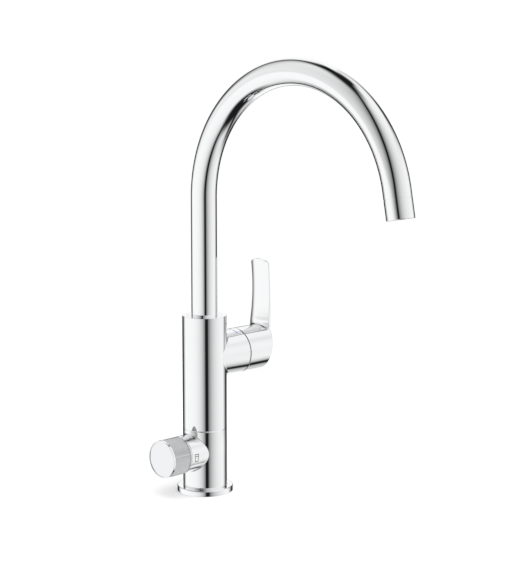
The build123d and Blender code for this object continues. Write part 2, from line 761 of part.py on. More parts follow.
# Hose coupling: turns on the riser with the spout, held by three fins in the spout foot
with BuildPart() as hose_coupling:
    rod_z(coupling_radius, coupling_low, coupling_top)
    with BuildSketch(Plane.XY.offset(coupling_low)) as fins:
        with PolarLocations(foot_bore / 2, coupling_fins):
            Rectangle(foot_bore, coupling_fin_width)
        Circle(foot_bore - press_fit, mode=Mode.INTERSECT)
    extrude(fins.sketch, amount=coupling_fin_height)
    rod_z(hose_bore - press_fit, coupling_top, coupling_top + coupling_barb_length)
    rod_z(riser_radius + running, coupling_low, coupling_socket_top, mode=Mode.SUBTRACT)
    rod_z(nozzle_bore, coupling_low, coupling_top + coupling_barb_length, mode=Mode.SUBTRACT)
hose_coupling.part.label = "hose_coupling"
export_step(hose_coupling.part, "parts/hose_coupling.step")

# Filter hose: soft tube from the coupling to the nozzle, along the spout's middle line
with BuildPart() as filter_hose:
    swan_neck(hose_radius, hose_bore, coupling_top, nozzle_top)
filter_hose.part.label = "filter_hose"
export_step(filter_hose.part, "parts/filter_hose.step")
hose_length = (spout_straight_top - coupling_top + radians(spout_arc_angle) * spout_arc_radius
               + nozzle_top)
hose_section = pi * (hose_radius ** 2 - hose_bore ** 2)
print("hose length", round(hose_length, 1), "bend radius", spout_arc_radius,
      "volume over section times length", round(filter_hose.part.volume / hose_section / hose_length, 5))

# Cartridge base: plastic disc on the seat with three water ways
water_ways = [(port_spread, lever_height - port_drop, port_radius),
              (-port_spread, lever_height - port_drop, port_radius),
              (0, lever_height + outlet_rise, outlet_radius)]
with BuildPart() as cartridge_base:
    rod_x(cartridge_bore - running, seat_x, base_x, at=(0, lever_height))
    for across, up, radius in water_ways:
        rod_x(radius, seat_x, base_x, at=(across, up), mode=Mode.SUBTRACT)
        rod_x(radius + seal_wall, seat_x, seat_x + seal_height, at=(across, up),
              mode=Mode.SUBTRACT)
cartridge_base.part.label = "cartridge_base"
export_step(cartridge_base.part, "parts/cartridge_base.step")

# Cartridge seals: three rubber rings in the base, against the seat
with BuildPart() as cartridge_seals:
    for across, up, radius in water_ways:
        with BuildSketch(Plane.YZ.offset(seat_x)) as seal_section:
            with Locations((across, up)):
                Circle(radius + seal_wall - press_fit)
                Circle(radius, mode=Mode.SUBTRACT)
        extrude(seal_section.sketch, amount=seal_height)
cartridge_seals.part.label = "cartridge_seals"
export_step(cartridge_seals.part, "parts/cartridge_seals.step")

# Fixed ceramic disc with the same three water ways
with BuildPart() as fixed_disc:
    rod_x(cartridge_bore - running, base_x, fixed_disc_x, at=(0, lever_height))
    for across, up, radius in water_ways:
        rod_x(radius, base_x, fixed_disc_x, at=(across, up), mode=Mode.SUBTRACT)
fixed_disc.part.label = "fixed_disc"
export_step(fixed_disc.part, "parts/fixed_disc.step")

# Moving ceramic disc: its mixing pocket joins the inlets to the outlet
with BuildPart() as moving_disc:
    rod_x(moving_disc_radius, fixed_disc_x, moving_disc_x, at=(0, lever_height))
    rod_x(mixing_pocket_radius, fixed_disc_x, fixed_disc_x + mixing_pocket_depth,
          at=(0, lever_height), mode=Mode.SUBTRACT)
moving_disc.part.label = "moving_disc"
export_step(moving_disc.part, "parts/moving_disc.step")

# Disc carrier: plastic slide on the moving disc, pushed by the spindle's ball
with BuildPart() as disc_carrier:
    with BuildSketch(Plane.YZ.offset(moving_disc_x)) as carrier_section:
        with Locations((0, lever_height)):
            Circle(carrier_radius)
            Rectangle(2 * carrier_flat, 2 * carrier_radius, mode=Mode.INTERSECT)
    extrude(carrier_section.sketch, amount=carrier_height)
    rod_x(carrier_socket, moving_disc_x, carrier_x, at=(0, lever_height), mode=Mode.SUBTRACT)
    rod_x(carrier_relief_radius, carrier_x - carrier_relief_height, carrier_x,
          at=(0, lever_height), mode=Mode.SUBTRACT)
disc_carrier.part.label = "disc_carrier"
export_step(disc_carrier.part, "parts/disc_carrier.step")

# Cartridge rotor: turns in the housing with the lever, carries the pivot pin and guides
# the disc carrier between two lugs
with BuildPart() as cartridge_rotor:
    rod_x(cartridge_bore - 2 * slide_gap, rotor_x, rotor_shoulder_x, at=(0, lever_height))
    rod_x(rotor_neck_radius, rotor_shoulder_x, rotor_end, at=(0, lever_height))
    for side in (1, -1):
        across = side * (carrier_flat + 2 * slide_gap + rotor_lug_thickness / 2)
        block_x(rotor_lug_thickness, 2 * rotor_lug_half, moving_disc_x + moving_gap, rotor_x,
                at=(across, lever_height))
    block_x(spindle_width + 2 * slide_gap, 2 * rotor_slot_half, rotor_x, rotor_end,
            at=(0, lever_height), mode=Mode.SUBTRACT)
    rod_y(pivot_pin_radius, pivot_pin_length / 2, -pivot_pin_length / 2,
          at=(pivot_x, lever_height), mode=Mode.SUBTRACT)
cartridge_rotor.part.label = "cartridge_rotor"
export_step(cartridge_rotor.part, "parts/cartridge_rotor.step")

# Pivot pin across the rotor
with BuildPart() as pivot_pin:
    rod_y(pivot_pin_radius, pivot_pin_length / 2, -pivot_pin_length / 2,
          at=(pivot_x, lever_height))
pivot_pin.part.label = "pivot_pin"
export_step(pivot_pin.part, "parts/pivot_pin.step")

# Spindle: steel bar that tips on the pivot pin, ball below and square end in the lever
with BuildPart() as spindle:
    block_x(spindle_width, spindle_width, pivot_x + spindle_shoulder, spindle_end,
            at=(0, lever_height))
    rod_y(spindle_eye_radius, spindle_width / 2, -spindle_width / 2, at=(pivot_x, lever_height))
    block_x(spindle_width, 2 * spindle_eye_radius, pivot_x, pivot_x + spindle_shoulder,
            at=(0, lever_height))
    rod_x(spindle_stem_radius, pivot_x - spindle_ball_arm, pivot_x, at=(0, lever_height))
    with Locations((pivot_x - spindle_ball_arm, 0, lever_height)):
        Sphere(spindle_ball_radius)
    rod_y(pivot_pin_radius + running, spindle_width, -spindle_width,
          at=(pivot_x, lever_height), mode=Mode.SUBTRACT)
spindle.part.label = "spindle"
export_step(spindle.part, "parts/spindle.step")

# Cartridge housing: plastic shell with a neck that the rotor turns in
with BuildPart() as cartridge_housing:
    rod_x(cartridge_radius, seat_x, shoulder_x, at=(0, lever_height))
    rod_x(neck_radius, shoulder_x, shoulder_x + neck_height, at=(0, lever_height))
    rod_x(cartridge_bore, seat_x, rotor_shoulder_x + slide_gap, at=(0, lever_height),
          mode=Mode.SUBTRACT)
    rod_x(rotor_neck_radius + slide_gap, seat_x, shoulder_x + neck_height,
          at=(0, lever_height), mode=Mode.SUBTRACT)
cartridge_housing.part.label = "cartridge_housing"
export_step(cartridge_housing.part, "parts/cartridge_housing.step")

# Cartridge nut: brass ring with notches for a key, clamps the cartridge's shoulder
with BuildPart() as cartridge_nut:
    rod_x(nut_radius, shoulder_x, shoulder_x + nut_height, at=(0, lever_height))
    rod_x(neck_radius + running, shoulder_x, shoulder_x + nut_flange, at=(0, lever_height),
          mode=Mode.SUBTRACT)
    rod_x(nut_bore, shoulder_x + nut_flange, shoulder_x + nut_height, at=(0, lever_height),
          mode=Mode.SUBTRACT)
    with BuildSketch(Plane.YZ.offset(shoulder_x + nut_height)) as notches:
        with Locations((0, lever_height)):
            with PolarLocations(nut_bore, nut_notches):
                Rectangle(nut_notch_width, nut_notch_width)
    extrude(notches.sketch, amount=-nut_notch_width, mode=Mode.SUBTRACT)
cartridge_nut.part.label = "cartridge_nut"
export_step(cartridge_nut.part, "parts/cartridge_nut.step")

def dome_arc(radius):
    """Three points of a circle about the pivot, from the housing's end to the dome's opening."""
    first = asin((housing_end - pivot_x) / radius)
    last = acos(dome_opening / radius)
    return [(pivot_x + radius * sin(turn), lever_height + radius * cos(turn))
            for turn in (first, (first + last) / 2, last)]


# Dome ring: chrome cover, part of a sphere about the pivot, hides the nut when the lever tips
with BuildPart() as dome_ring:
    outside = dome_arc(dome_radius)
    inside = dome_arc(dome_radius - dome_wall)
    with BuildSketch(Plane.XZ) as dome_section:
        with BuildLine():
            ThreePointArc(*outside)
            Line(outside[2], inside[2])
            ThreePointArc(*reversed(inside))
            Line(inside[0], outside[0])
        make_face()
    revolve(dome_section.sketch, axis=Axis((0, 0, lever_height), (1, 0, 0)))
dome_ring.part.label = "dome_ring"
export_step(dome_ring.part, "parts/dome_ring.step")

# The lever's side view, crowned across: the solid that the cap and the blade are cut to
with BuildPart() as lever_outline:
    for across in (-lever_crown_half, 0, lever_crown_half):
        drawn_in = 0 if across == 0 else lever_crown
        with BuildSketch(Plane.XZ.offset(-across)):
            with BuildLine():
                side = [(x - drawn_in, lever_height + z) for x, z in lever_back]
                back = Spline(*side, tangents=lever_back_ends, tangent_scalars=[1, 1])
                Polyline(back @ 1, (lever_start, side[-1][1]), (lever_start, side[0][1]),
                         back @ 0)
            make_face()
    loft()

# Lever: zinc casting, a round cap over the cartridge and an upright blade
with BuildPart() as lever:
    corner = lever_height + blade_corner_height
    waist = lever_height + blade_waist_height
    with BuildSketch(Plane.YZ.offset(lever_start)) as blade_outline:
        with BuildLine():
            right = ThreePointArc((blade_root_half, lever_height + blade_root_height),
                                  (blade_waist_half, waist), (blade_tip_half, corner))
            ThreePointArc((blade_tip_half, corner), (0, lever_height + blade_tip_height),
                          (-blade_tip_half, corner))
            left = ThreePointArc((-blade_tip_half, corner), (-blade_waist_half, waist),
                                 (-blade_root_half, lever_height + blade_root_height))
            Line(left @ 1, right @ 0)
        make_face()
    extrude(blade_outline.sketch, amount=lever_reach - lever_start)
    with BuildSketch(Plane.XZ) as blade_face:
        with BuildLine():
            low = lever_height + blade_face_low
            high = lever_height + blade_tip_height + cut_past
            face_line = ThreePointArc((blade_face_x, low),
                                      (blade_face_x + blade_face_bow, (low + high) / 2),
                                      (blade_face_x, high))
            Polyline(face_line @ 1, (lever_start - cut_past, high), (lever_start - cut_past, lever_height),
                     (blade_face_x, lever_height), face_line @ 0)
        make_face()
    extrude(blade_face.sketch, amount=lever_radius, both=True, mode=Mode.SUBTRACT)
    rod_x(lever_radius, lever_start, lever_reach, at=(0, lever_height))
    root = lever.edges().filter_by(
        lambda edge: abs(edge.center().X - blade_face_x) < blade_root_search
        and abs(edge.center().Y) < blade_root_search and edge.center().Z < low)
    fillet(root, blade_root_fillet)
    add(lever_outline.part, mode=Mode.INTERSECT)
    with BuildSketch(Plane.XY.offset(lever_height)) as hollow:
        with BuildLine():
            mouth = lever_start - cut_past
            rim = sqrt(lever_cavity ** 2 - (mouth - pivot_x) ** 2)
            turn = atan2(rim, mouth - pivot_x) / 2
            ThreePointArc((pivot_x + lever_cavity, 0),
                          (pivot_x + lever_cavity * cos(turn), lever_cavity * sin(turn)),
                          (mouth, rim))
            Polyline((mouth, rim), (mouth, 0), (pivot_x + lever_cavity, 0))
        make_face()
    revolve(hollow.sketch, axis=Axis((0, 0, lever_height), (1, 0, 0)), mode=Mode.SUBTRACT)
    rod_x(boss_radius, boss_start, spindle_end, at=(0, lever_height))
    block_x(spindle_width + 2 * press_fit, spindle_width + 2 * press_fit, boss_start, spindle_end,
            at=(0, lever_height), mode=Mode.SUBTRACT)
    rod_z(lever_grub_radius, lever_height - lever_radius, lever_height - spindle_width / 2,
          at=(lever_grub_x, 0), mode=Mode.SUBTRACT)
    rod_z(lever_plug_radius, lever_height - lever_radius,
          lever_height - lever_radius + lever_plug_length, at=(lever_grub_x, 0),
          mode=Mode.SUBTRACT)
lever.part.label = "lever"
export_step(lever.part, "parts/lever.step")

# Lever grub screw: presses on the spindle from below
with BuildPart() as lever_grub_screw:
    top = lever_height - spindle_width / 2
    rod_z(lever_grub_radius, top - lever_grub_length, top, at=(lever_grub_x, 0))
    with BuildSketch(Plane.XY.offset(top - lever_grub_length)) as lever_socket:
        with Locations((lever_grub_x, 0)):
            RegularPolygon(lever_grub_radius / 2, 6)
    extrude(lever_socket.sketch, amount=lever_grub_radius / 2, mode=Mode.SUBTRACT)
lever_grub_screw.part.label = "lever_grub_screw"
export_step(lever_grub_screw.part, "parts/lever_grub_screw.step")

# Lever plug: closes the screw's hole, cut to the cap's round
with BuildPart() as lever_plug:
    rod_z(lever_plug_radius, lever_height - lever_radius,
          lever_height - lever_radius + lever_plug_length, at=(lever_grub_x, 0))
    rod_x(lever_radius, lever_start, lever_reach, at=(0, lever_height), mode=Mode.INTERSECT)
lever_plug.part.label = "lever_plug"
export_step(lever_plug.part, "parts/lever_plug.step")

# Filter valve seat seal, against the bottom of the chamber
seal_x = valve_seat_x - valve_seal_height
valve_fixed_x = seal_x - valve_disc_height
valve_turning_x = valve_fixed_x - valve_disc_height
valve_foot_x = valve_turning_x - valve_foot_height
with BuildPart() as valve_seat_seal:
    rod_x(valve_seal_outer, valve_seat_x, seal_x, at=(0, knob_height))
    rod_x(valve_seal_inner, valve_seat_x, seal_x, at=(0, knob_height), mode=Mode.SUBTRACT)
valve_seat_seal.part.label = "valve_seat_seal"
export_step(valve_seat_seal.part, "parts/valve_seat_seal.step")


def quarter_openings(start, end):
    """Cut two facing quarter openings through a valve disc, for a quarter turn."""
    reach = valve_opening_radius
    with BuildSketch(Plane.YZ.offset(min(start, end))) as quarters:
        with Locations((0, knob_height)):
            Circle(reach)
            with Locations((reach / 2, reach / 2), (-reach / 2, -reach / 2)):
                Rectangle(reach, reach, mode=Mode.SUBTRACT)
            Circle(valve_disc_middle, mode=Mode.SUBTRACT)
    extrude(quarters.sketch, amount=abs(end - start), mode=Mode.SUBTRACT)


# Filter valve fixed ceramic disc
with BuildPart() as valve_fixed_disc:
    rod_x(valve_disc_radius, seal_x, valve_fixed_x, at=(0, knob_height))
    quarter_openings(seal_x, valve_fixed_x)
valve_fixed_disc.part.label = "valve_fixed_disc"
export_step(valve_fixed_disc.part, "parts/valve_fixed_disc.step")

# Filter valve turning ceramic disc
with BuildPart() as valve_turning_disc:
    rod_x(valve_disc_radius, valve_fixed_x, valve_turning_x, at=(0, knob_height))
    quarter_openings(valve_fixed_x, valve_turning_x)
valve_turning_disc.part.label = "valve_turning_disc"
export_step(valve_turning_disc.part, "parts/valve_turning_disc.step")

# Filter valve body: brass headwork screwed into the side branch
window_x = valve_turning_x - valve_window_length / 2 - slide_gap
with BuildPart() as valve_body:
    rod_x(valve_chamber_radius - running, seal_x, valve_chamber_end, at=(0, knob_height))
    rod_x(valve_gland_radius - running, valve_chamber_end, valve_neck_end, at=(0, knob_height))
    with BuildSketch(Plane.YZ.offset(window_x - valve_groove_width / 2)) as valve_groove:
        with Locations((0, knob_height)):
            Circle(valve_chamber_radius)
            Circle(valve_groove_radius, mode=Mode.SUBTRACT)
    extrude(valve_groove.sketch, amount=valve_groove_width, mode=Mode.SUBTRACT)
    rod_x(valve_body_bore, seal_x, valve_foot_x - moving_gap, at=(0, knob_height),
          mode=Mode.SUBTRACT)
    rod_x(valve_stem_radius + running, seal_x, valve_neck_end, at=(0, knob_height),
          mode=Mode.SUBTRACT)
    with BuildSketch(Plane.XY.offset(knob_height)) as window:
        with Locations((window_x, 0)):
            Rectangle(valve_window_length, valve_window_width)
    extrude(window.sketch, amount=valve_chamber_radius, both=True, mode=Mode.SUBTRACT)
valve_body.part.label = "valve_body"
export_step(valve_body.part, "parts/valve_body.step")

# Filter valve spindle: drives the turning disc, square end for the knob
with BuildPart() as valve_spindle:
    rod_x(valve_disc_radius, valve_turning_x, valve_foot_x, at=(0, knob_height))
    block_x(valve_disc_radius, valve_disc_radius / 2, valve_turning_x, valve_foot_x + valve_foot_web,
            at=(-valve_disc_radius / 2, knob_height), mode=Mode.SUBTRACT)
    block_x(valve_disc_radius, valve_disc_radius / 2, valve_turning_x, valve_foot_x + valve_foot_web,
            at=(valve_disc_radius / 2, knob_height), mode=Mode.SUBTRACT)
    rod_x(valve_stem_radius, valve_foot_x, valve_square_start, at=(0, knob_height))
    block_x(valve_square, valve_square, valve_square_start, knob_web_x, at=(0, knob_height))
    for place in valve_ring_places:
        with BuildSketch(Plane.YZ.offset(place)) as stem_groove:
            with Locations((0, knob_height)):
                Circle(valve_stem_radius)
                Circle(valve_stem_radius - valve_ring_wall, mode=Mode.SUBTRACT)
        extrude(stem_groove.sketch, amount=valve_ring_width, mode=Mode.SUBTRACT)
    rod_x(knob_screw_radius, knob_web_x - knob_web_height + knob_screw_length, knob_web_x,
          at=(0, knob_height), mode=Mode.SUBTRACT)
valve_spindle.part.label = "valve_spindle"
export_step(valve_spindle.part, "parts/valve_spindle.step")

# Two O-rings on the valve's spindle
with BuildPart() as valve_o_rings:
    for place in valve_ring_places:
        with BuildSketch(Plane.YZ.offset(place)) as valve_ring_section:
            with Locations((0, knob_height)):
                Circle(valve_stem_radius)
                Circle(valve_stem_radius - valve_ring_wall, mode=Mode.SUBTRACT)
        extrude(valve_ring_section.sketch, amount=valve_ring_width)
valve_o_rings.part.label = "valve_o_rings"
export_step(valve_o_rings.part, "parts/valve_o_rings.step")

# Neck ring: chrome trim on the end of the side branch
with BuildPart() as neck_ring:
    rod_x(branch_radius, branch_end, branch_end - neck_ring_height, at=(0, knob_height))
    rod_x(valve_gland_radius, branch_end, branch_end - neck_ring_height, at=(0, knob_height),
          mode=Mode.SUBTRACT)
neck_ring.part.label = "neck_ring"
export_step(neck_ring.part, "parts/neck_ring.step")

# Knob shell: turned cup with a polished front band, fine flutes and one smooth index stripe
with BuildPart() as knob_shell:
    flute_x = knob_front + knob_band
    rod_x(knob_radius, knob_front, flute_x, at=(0, knob_height))
    chamfer(knob_shell.edges().filter_by(GeomType.CIRCLE).sort_by(Axis.X)[0], knob_chamfer)
    rim = []
    for step in range(flute_count):
        crest = 360 / flute_count * step
        for angle, radius in ((crest, knob_radius), (crest + 180 / flute_count,
                                                     knob_radius - flute_depth)):
            from_index = abs((angle - index_angle + 180) % 360 - 180)
            if from_index <= index_half_angle:
                radius = knob_radius
            rim.append((-radius * cos(radians(angle)), knob_height + radius * sin(radians(angle))))
    with BuildSketch(Plane.YZ.offset(flute_x)) as fluted:
        with BuildLine():
            Polyline(*rim, close=True)
        make_face()
    extrude(fluted.sketch, amount=knob_back - flute_x)
    rod_x(knob_radius - knob_wall, knob_web_x, knob_back, at=(0, knob_height), mode=Mode.SUBTRACT)
    rod_x(knob_cap_radius, knob_front, knob_front + knob_cap_height, at=(0, knob_height),
          mode=Mode.SUBTRACT)
    rod_x(knob_cap_ledge, knob_front, knob_web_x - knob_web_height, at=(0, knob_height),
          mode=Mode.SUBTRACT)
    rod_x(knob_screw_radius, knob_front, knob_web_x, at=(0, knob_height), mode=Mode.SUBTRACT)
knob_shell.part.label = "knob_shell"
export_step(knob_shell.part, "parts/knob_shell.step")

# Knob cap: pale flat disc pressed in the shell's front
with BuildPart() as knob_cap:
    rod_x(knob_cap_radius - press_fit, knob_front, knob_front + knob_cap_height,
          at=(0, knob_height))
knob_cap.part.label = "knob_cap"
export_step(knob_cap.part, "parts/knob_cap.step")

# Knob adapter: plastic hub with ribs between the valve's square and the shell
with BuildPart() as knob_adapter:
    with BuildSketch(Plane.YZ.offset(knob_web_x)) as hub:
        with Locations((0, knob_height)):
            Circle(adapter_hub)
            with PolarLocations(knob_radius / 2, adapter_ribs):
                Rectangle(knob_radius, adapter_rib_width)
            Circle(knob_radius - knob_wall - press_fit, mode=Mode.INTERSECT)
            Rectangle(valve_square + 2 * press_fit, valve_square + 2 * press_fit,
                      mode=Mode.SUBTRACT)
    extrude(hub.sketch, amount=adapter_height)
    rod_x(valve_stem_radius + running, valve_square_start, knob_web_x + adapter_height,
          at=(0, knob_height), mode=Mode.SUBTRACT)
knob_adapter.part.label = "knob_adapter"
export_step(knob_adapter.part, "parts/knob_adapter.step")

# Knob screw: holds the shell on the spindle, under the cap
with BuildPart() as knob_screw:
    seat = knob_web_x - knob_web_height
    rod_x(knob_screw_radius - press_fit, seat, seat + knob_screw_length, at=(0, knob_height))
    rod_x(knob_screw_head_radius, seat, seat - knob_screw_head_height, at=(0, knob_height))
    with BuildSketch(Plane.YZ.offset(seat - knob_screw_head_height)) as screw_socket:
        with Locations((0, knob_height)):
            RegularPolygon(knob_screw_socket, 6)
    extrude(screw_socket.sketch, amount=knob_screw_head_height / 2, mode=Mode.SUBTRACT)
knob_screw.part.label = "knob_screw"
export_step(knob_screw.part, "parts/knob_screw.step")

# Fixing stud: threaded rod from the lower body down through the worktop's hole
with BuildPart() as fixing_stud:
    rod_z(stud_radius - press_fit, stud_end, flange_ledge + stud_hole_depth,
          at=(stud_offset, 0))
    chamfer(fixing_stud.edges().filter_by(GeomType.CIRCLE), stud_chamfer)
fixing_stud.part.label = "fixing_stud"
export_step(fixing_stud.part, "parts/fixing_stud.step")


def horseshoe(low, high):
    """Round plate with a slot for the hoses open to the left and a hole for the stud."""
    with BuildSketch(Plane.XY.offset(low)) as shoe:
        Circle(flange_radius)
        slot_length = plate_slot_end + flange_radius
        with Locations((plate_slot_end - slot_length, 0)):
            RectangleRounded(2 * slot_length, 2 * plate_slot_half, plate_slot_corner,
                             mode=Mode.SUBTRACT)
        with Locations((stud_offset, 0)):
            Circle(stud_radius + stud_clearance, mode=Mode.SUBTRACT)
    extrude(shoe.sketch, amount=high - low)


# Horseshoe rubber and steel plate, clamped up against the worktop
rubber_low = -worktop_thickness - rubber_height
plate_low = rubber_low - plate_height
with BuildPart() as horseshoe_rubber:
    horseshoe(rubber_low, -worktop_thickness)
horseshoe_rubber.part.label = "horseshoe_rubber"
export_step(horseshoe_rubber.part, "parts/horseshoe_rubber.step")

with BuildPart() as horseshoe_plate:
    horseshoe(plate_low, rubber_low)
horseshoe_plate.part.label = "horseshoe_plate"
export_step(horseshoe_plate.part, "parts/horseshoe_plate.step")

# Fixing nut on the stud
with BuildPart() as fixing_nut:
    with BuildSketch(Plane.XY.offset(plate_low - fixing_nut_height)):
        with Locations((stud_offset, 0)):
            RegularPolygon(fixing_nut_flats / 2, 6, major_radius=False)
            Circle(stud_radius, mode=Mode.SUBTRACT)
    extrude(amount=fixing_nut_height)
fixing_nut.part.label = "fixing_nut"
export_step(fixing_nut.part, "parts/fixing_nut.step")
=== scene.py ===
import json
import bpy
import numpy as np
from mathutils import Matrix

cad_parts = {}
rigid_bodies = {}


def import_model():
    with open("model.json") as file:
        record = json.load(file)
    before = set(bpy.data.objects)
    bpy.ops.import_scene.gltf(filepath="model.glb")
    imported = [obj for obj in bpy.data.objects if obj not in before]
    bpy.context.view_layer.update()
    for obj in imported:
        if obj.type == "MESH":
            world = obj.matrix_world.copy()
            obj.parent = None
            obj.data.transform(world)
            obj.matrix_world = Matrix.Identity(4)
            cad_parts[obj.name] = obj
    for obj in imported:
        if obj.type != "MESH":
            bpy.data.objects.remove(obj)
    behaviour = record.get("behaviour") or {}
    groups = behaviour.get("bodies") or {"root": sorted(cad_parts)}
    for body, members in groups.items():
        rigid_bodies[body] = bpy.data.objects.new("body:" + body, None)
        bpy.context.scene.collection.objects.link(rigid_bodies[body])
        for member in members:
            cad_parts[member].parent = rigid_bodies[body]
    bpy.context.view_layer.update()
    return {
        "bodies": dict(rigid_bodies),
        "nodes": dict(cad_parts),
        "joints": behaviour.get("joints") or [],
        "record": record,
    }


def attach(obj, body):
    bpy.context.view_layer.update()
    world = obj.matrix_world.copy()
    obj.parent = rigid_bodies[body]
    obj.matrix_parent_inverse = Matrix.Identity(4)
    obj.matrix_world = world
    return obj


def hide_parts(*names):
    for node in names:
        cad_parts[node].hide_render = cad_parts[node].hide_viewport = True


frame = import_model()

# Camera: it stands 1.3 m away, in front and to the left, level with the spout's top, and looks
# down by 7 degrees. The photograph's uprights run parallel, which takes a large shift. All
# other views keep the shift, so it is kept small here and the camera tilts instead.
camera_azimuth = np.radians(45.1)
camera = bpy.data.objects.new("camera", bpy.data.cameras.new("camera"))
camera.location = (-0.88628, -0.95445, 0.38173)
camera.rotation_euler = (np.radians(90 - 7.04), 0, -camera_azimuth)
camera.data.sensor_width = 36
camera.data.lens = 99.23
camera.data.shift_y = -0.08
bpy.context.scene.collection.objects.link(camera)
bpy.context.scene.camera = camera
bpy.context.scene.view_settings.view_transform = "Standard"


# Studio light: a white room at strength 1, and one large soft lamp above the camera that gives
# the object a faint shadow.
class Wire:
    """An output of a shader node. Adding to it or scaling it adds a Math node."""

    def __init__(self, shader, socket):
        self.shader = shader
        self.socket = socket

    def out(self, name):
        return Wire(self.shader, self.socket.node.outputs[name])

    def __add__(self, other):
        return self.shader.math("ADD", self, other)

    def __radd__(self, other):
        return self.shader.math("ADD", other, self)

    def __mul__(self, other):
        return self.shader.math("MULTIPLY", self, other)

    def __rmul__(self, other):
        return self.shader.math("MULTIPLY", other, self)


class Shader:
    """The nodes of one material or of the world, made one after the other."""

    def __init__(self, owner):
        owner.use_nodes = True
        self.tree = owner.node_tree
        self.tree.nodes.clear()

    def node(self, kind, settings=None, sockets=None):
        """Adds a node: its type, then its settings, then the values or wires of its sockets."""
        made = self.tree.nodes.new(kind)
        for name, value in (settings or {}).items():
            setattr(made, name, value)
        for name, value in (sockets or {}).items():
            if isinstance(value, Wire):
                self.tree.links.new(value.socket, made.inputs[name])
            else:
                made.inputs[name].default_value = value
        return Wire(self, made.outputs[0]) if made.outputs else None

    def math(self, operation, *values):
        return self.node("ShaderNodeMath", {"operation": operation}, dict(enumerate(values)))

    def mix(self, share, first, second):
        """Colour that goes from the first to the second as share goes from 0 to 1."""
        return self.node("ShaderNodeMix", {"data_type": "RGBA"},
                         {0: share, 6: first, 7: second}).out(2)

    def noise(self, place, scale, detail=2.0, roughness=0.5):
        return self.node("ShaderNodeTexNoise", None, {"Vector": place, "Scale": scale,
                                                      "Detail": detail, "Roughness": roughness})

    def output(self, surface):
        self.node("ShaderNodeOutputMaterial", None, {"Surface": surface})


world = bpy.data.worlds.new("white_room")
bpy.context.scene.world = world
room = Shader(world)
room.node("ShaderNodeOutputWorld", None, {"Surface": room.node(
    "ShaderNodeBackground", None, {"Color": (1, 1, 1, 1), "Strength": 1.0})})

lamp = bpy.data.objects.new("soft_lamp", bpy.data.lights.new("soft_lamp", "AREA"))
lamp.data.size = 2.4
lamp.data.energy = 45.0
lamp.location = (-1.2, -1.3, 2.2)
lamp.rotation_euler = (np.radians(38.8), 0, np.radians(-42.7))
lamp.visible_glossy = False
bpy.context.scene.collection.objects.link(lamp)


# Floor: a pale worktop at the height of the flange's underside. It fades out into the white
# room away from the tap, so that it has no edge.
def surface(name, patches, *materials):
    """One mesh object from patches, each a grid of points and a grid of normals, in mm.

    Every four neighbours of a grid make a face, turned so that it faces along the normals.
    Equal points are welded, faces that shrink to a line are dropped, and the normals given
    are kept at every corner, so curved surfaces shade as the formula says.
    """
    points = np.concatenate([np.asarray(p, float).reshape(-1, 3) for p, n in patches])
    normals = np.concatenate([np.broadcast_to(n, p.shape).reshape(-1, 3) for p, n in patches])
    quads, first = [], 0
    for p, n in patches:
        index = first + np.arange(p.shape[0] * p.shape[1]).reshape(p.shape[:2])
        quads.append(np.stack([index[:-1, :-1], index[1:, :-1], index[1:, 1:], index[:-1, 1:]],
                              -1).reshape(-1, 4))
        first += index.size
    quads = np.concatenate(quads)
    corner = points[quads]
    facing = np.cross(corner[:, 2] - corner[:, 0], corner[:, 3] - corner[:, 1])
    wrong = (facing * normals[quads].sum(1)).sum(1) < 0
    quads[wrong] = quads[wrong, ::-1]
    places, welded = np.unique(np.round(points, 4), axis=0, return_inverse=True)
    vertex = welded.reshape(-1)[quads]
    kept = vertex != np.roll(vertex, 1, axis=1)
    real = kept.sum(1) >= 3
    loops, shading = vertex[real][kept[real]], normals[quads][real][kept[real]]
    starts = np.concatenate([[0], np.cumsum(kept[real].sum(1))[:-1]])
    mesh = bpy.data.meshes.new(name)
    mesh.vertices.add(len(places))
    mesh.vertices.foreach_set("co", (places / 1000).ravel())
    mesh.loops.add(len(loops))
    mesh.loops.foreach_set("vertex_index", loops)
    mesh.polygons.add(len(starts))
    mesh.polygons.foreach_set("loop_start", starts)
    mesh.update(calc_edges=True)
    mesh.shade_smooth()
    mesh.normals_split_custom_set(shading.tolist())
    for material in materials:
        mesh.materials.append(material)
    made = bpy.data.objects.new(name, mesh)
    bpy.context.scene.collection.objects.link(made)
    return made


def new_material(name):
    """A material, its shader, and the place on the object in metres."""
    made = bpy.data.materials.new(name)
    shader = Shader(made)
    return made, shader, shader.node("ShaderNodeTexCoord").out("Object")


floor_radius = 900.0
floor_clear = 0.25
floor_gone = 0.75
turn, reach = np.meshgrid(np.radians(np.arange(0, 361, 5)), np.linspace(0, floor_radius, 31))
floor_points = np.stack([reach * np.cos(turn), reach * np.sin(turn), 0 * turn - 0.05], -1)
floor_paint, shader, place = new_material("floor_paint")
distance = shader.node("ShaderNodeVectorMath", {"operation": "LENGTH"}, {0: place}).out("Value")
faded = shader.node("ShaderNodeMapRange", {"interpolation_type": "SMOOTHSTEP"},
                    {"Value": distance, "From Min": floor_clear, "From Max": floor_gone})
speck = shader.noise(place, 900.0, 3.0)
paint = shader.node("ShaderNodeBsdfPrincipled", None, {
    "Base Color": shader.mix(speck, (0.97, 0.97, 0.97, 1), (0.99, 0.99, 0.99, 1)),
    "Roughness": 0.6, "Specular IOR Level": 0.1})
shader.output(shader.node("ShaderNodeMixShader", None, {
    0: faded, 1: paint, 2: shader.node("ShaderNodeBsdfTransparent")}))
floor = surface("floor", [(floor_points, np.array((0.0, 0.0, 1.0)))], floor_paint)
floor.visible_glossy = False

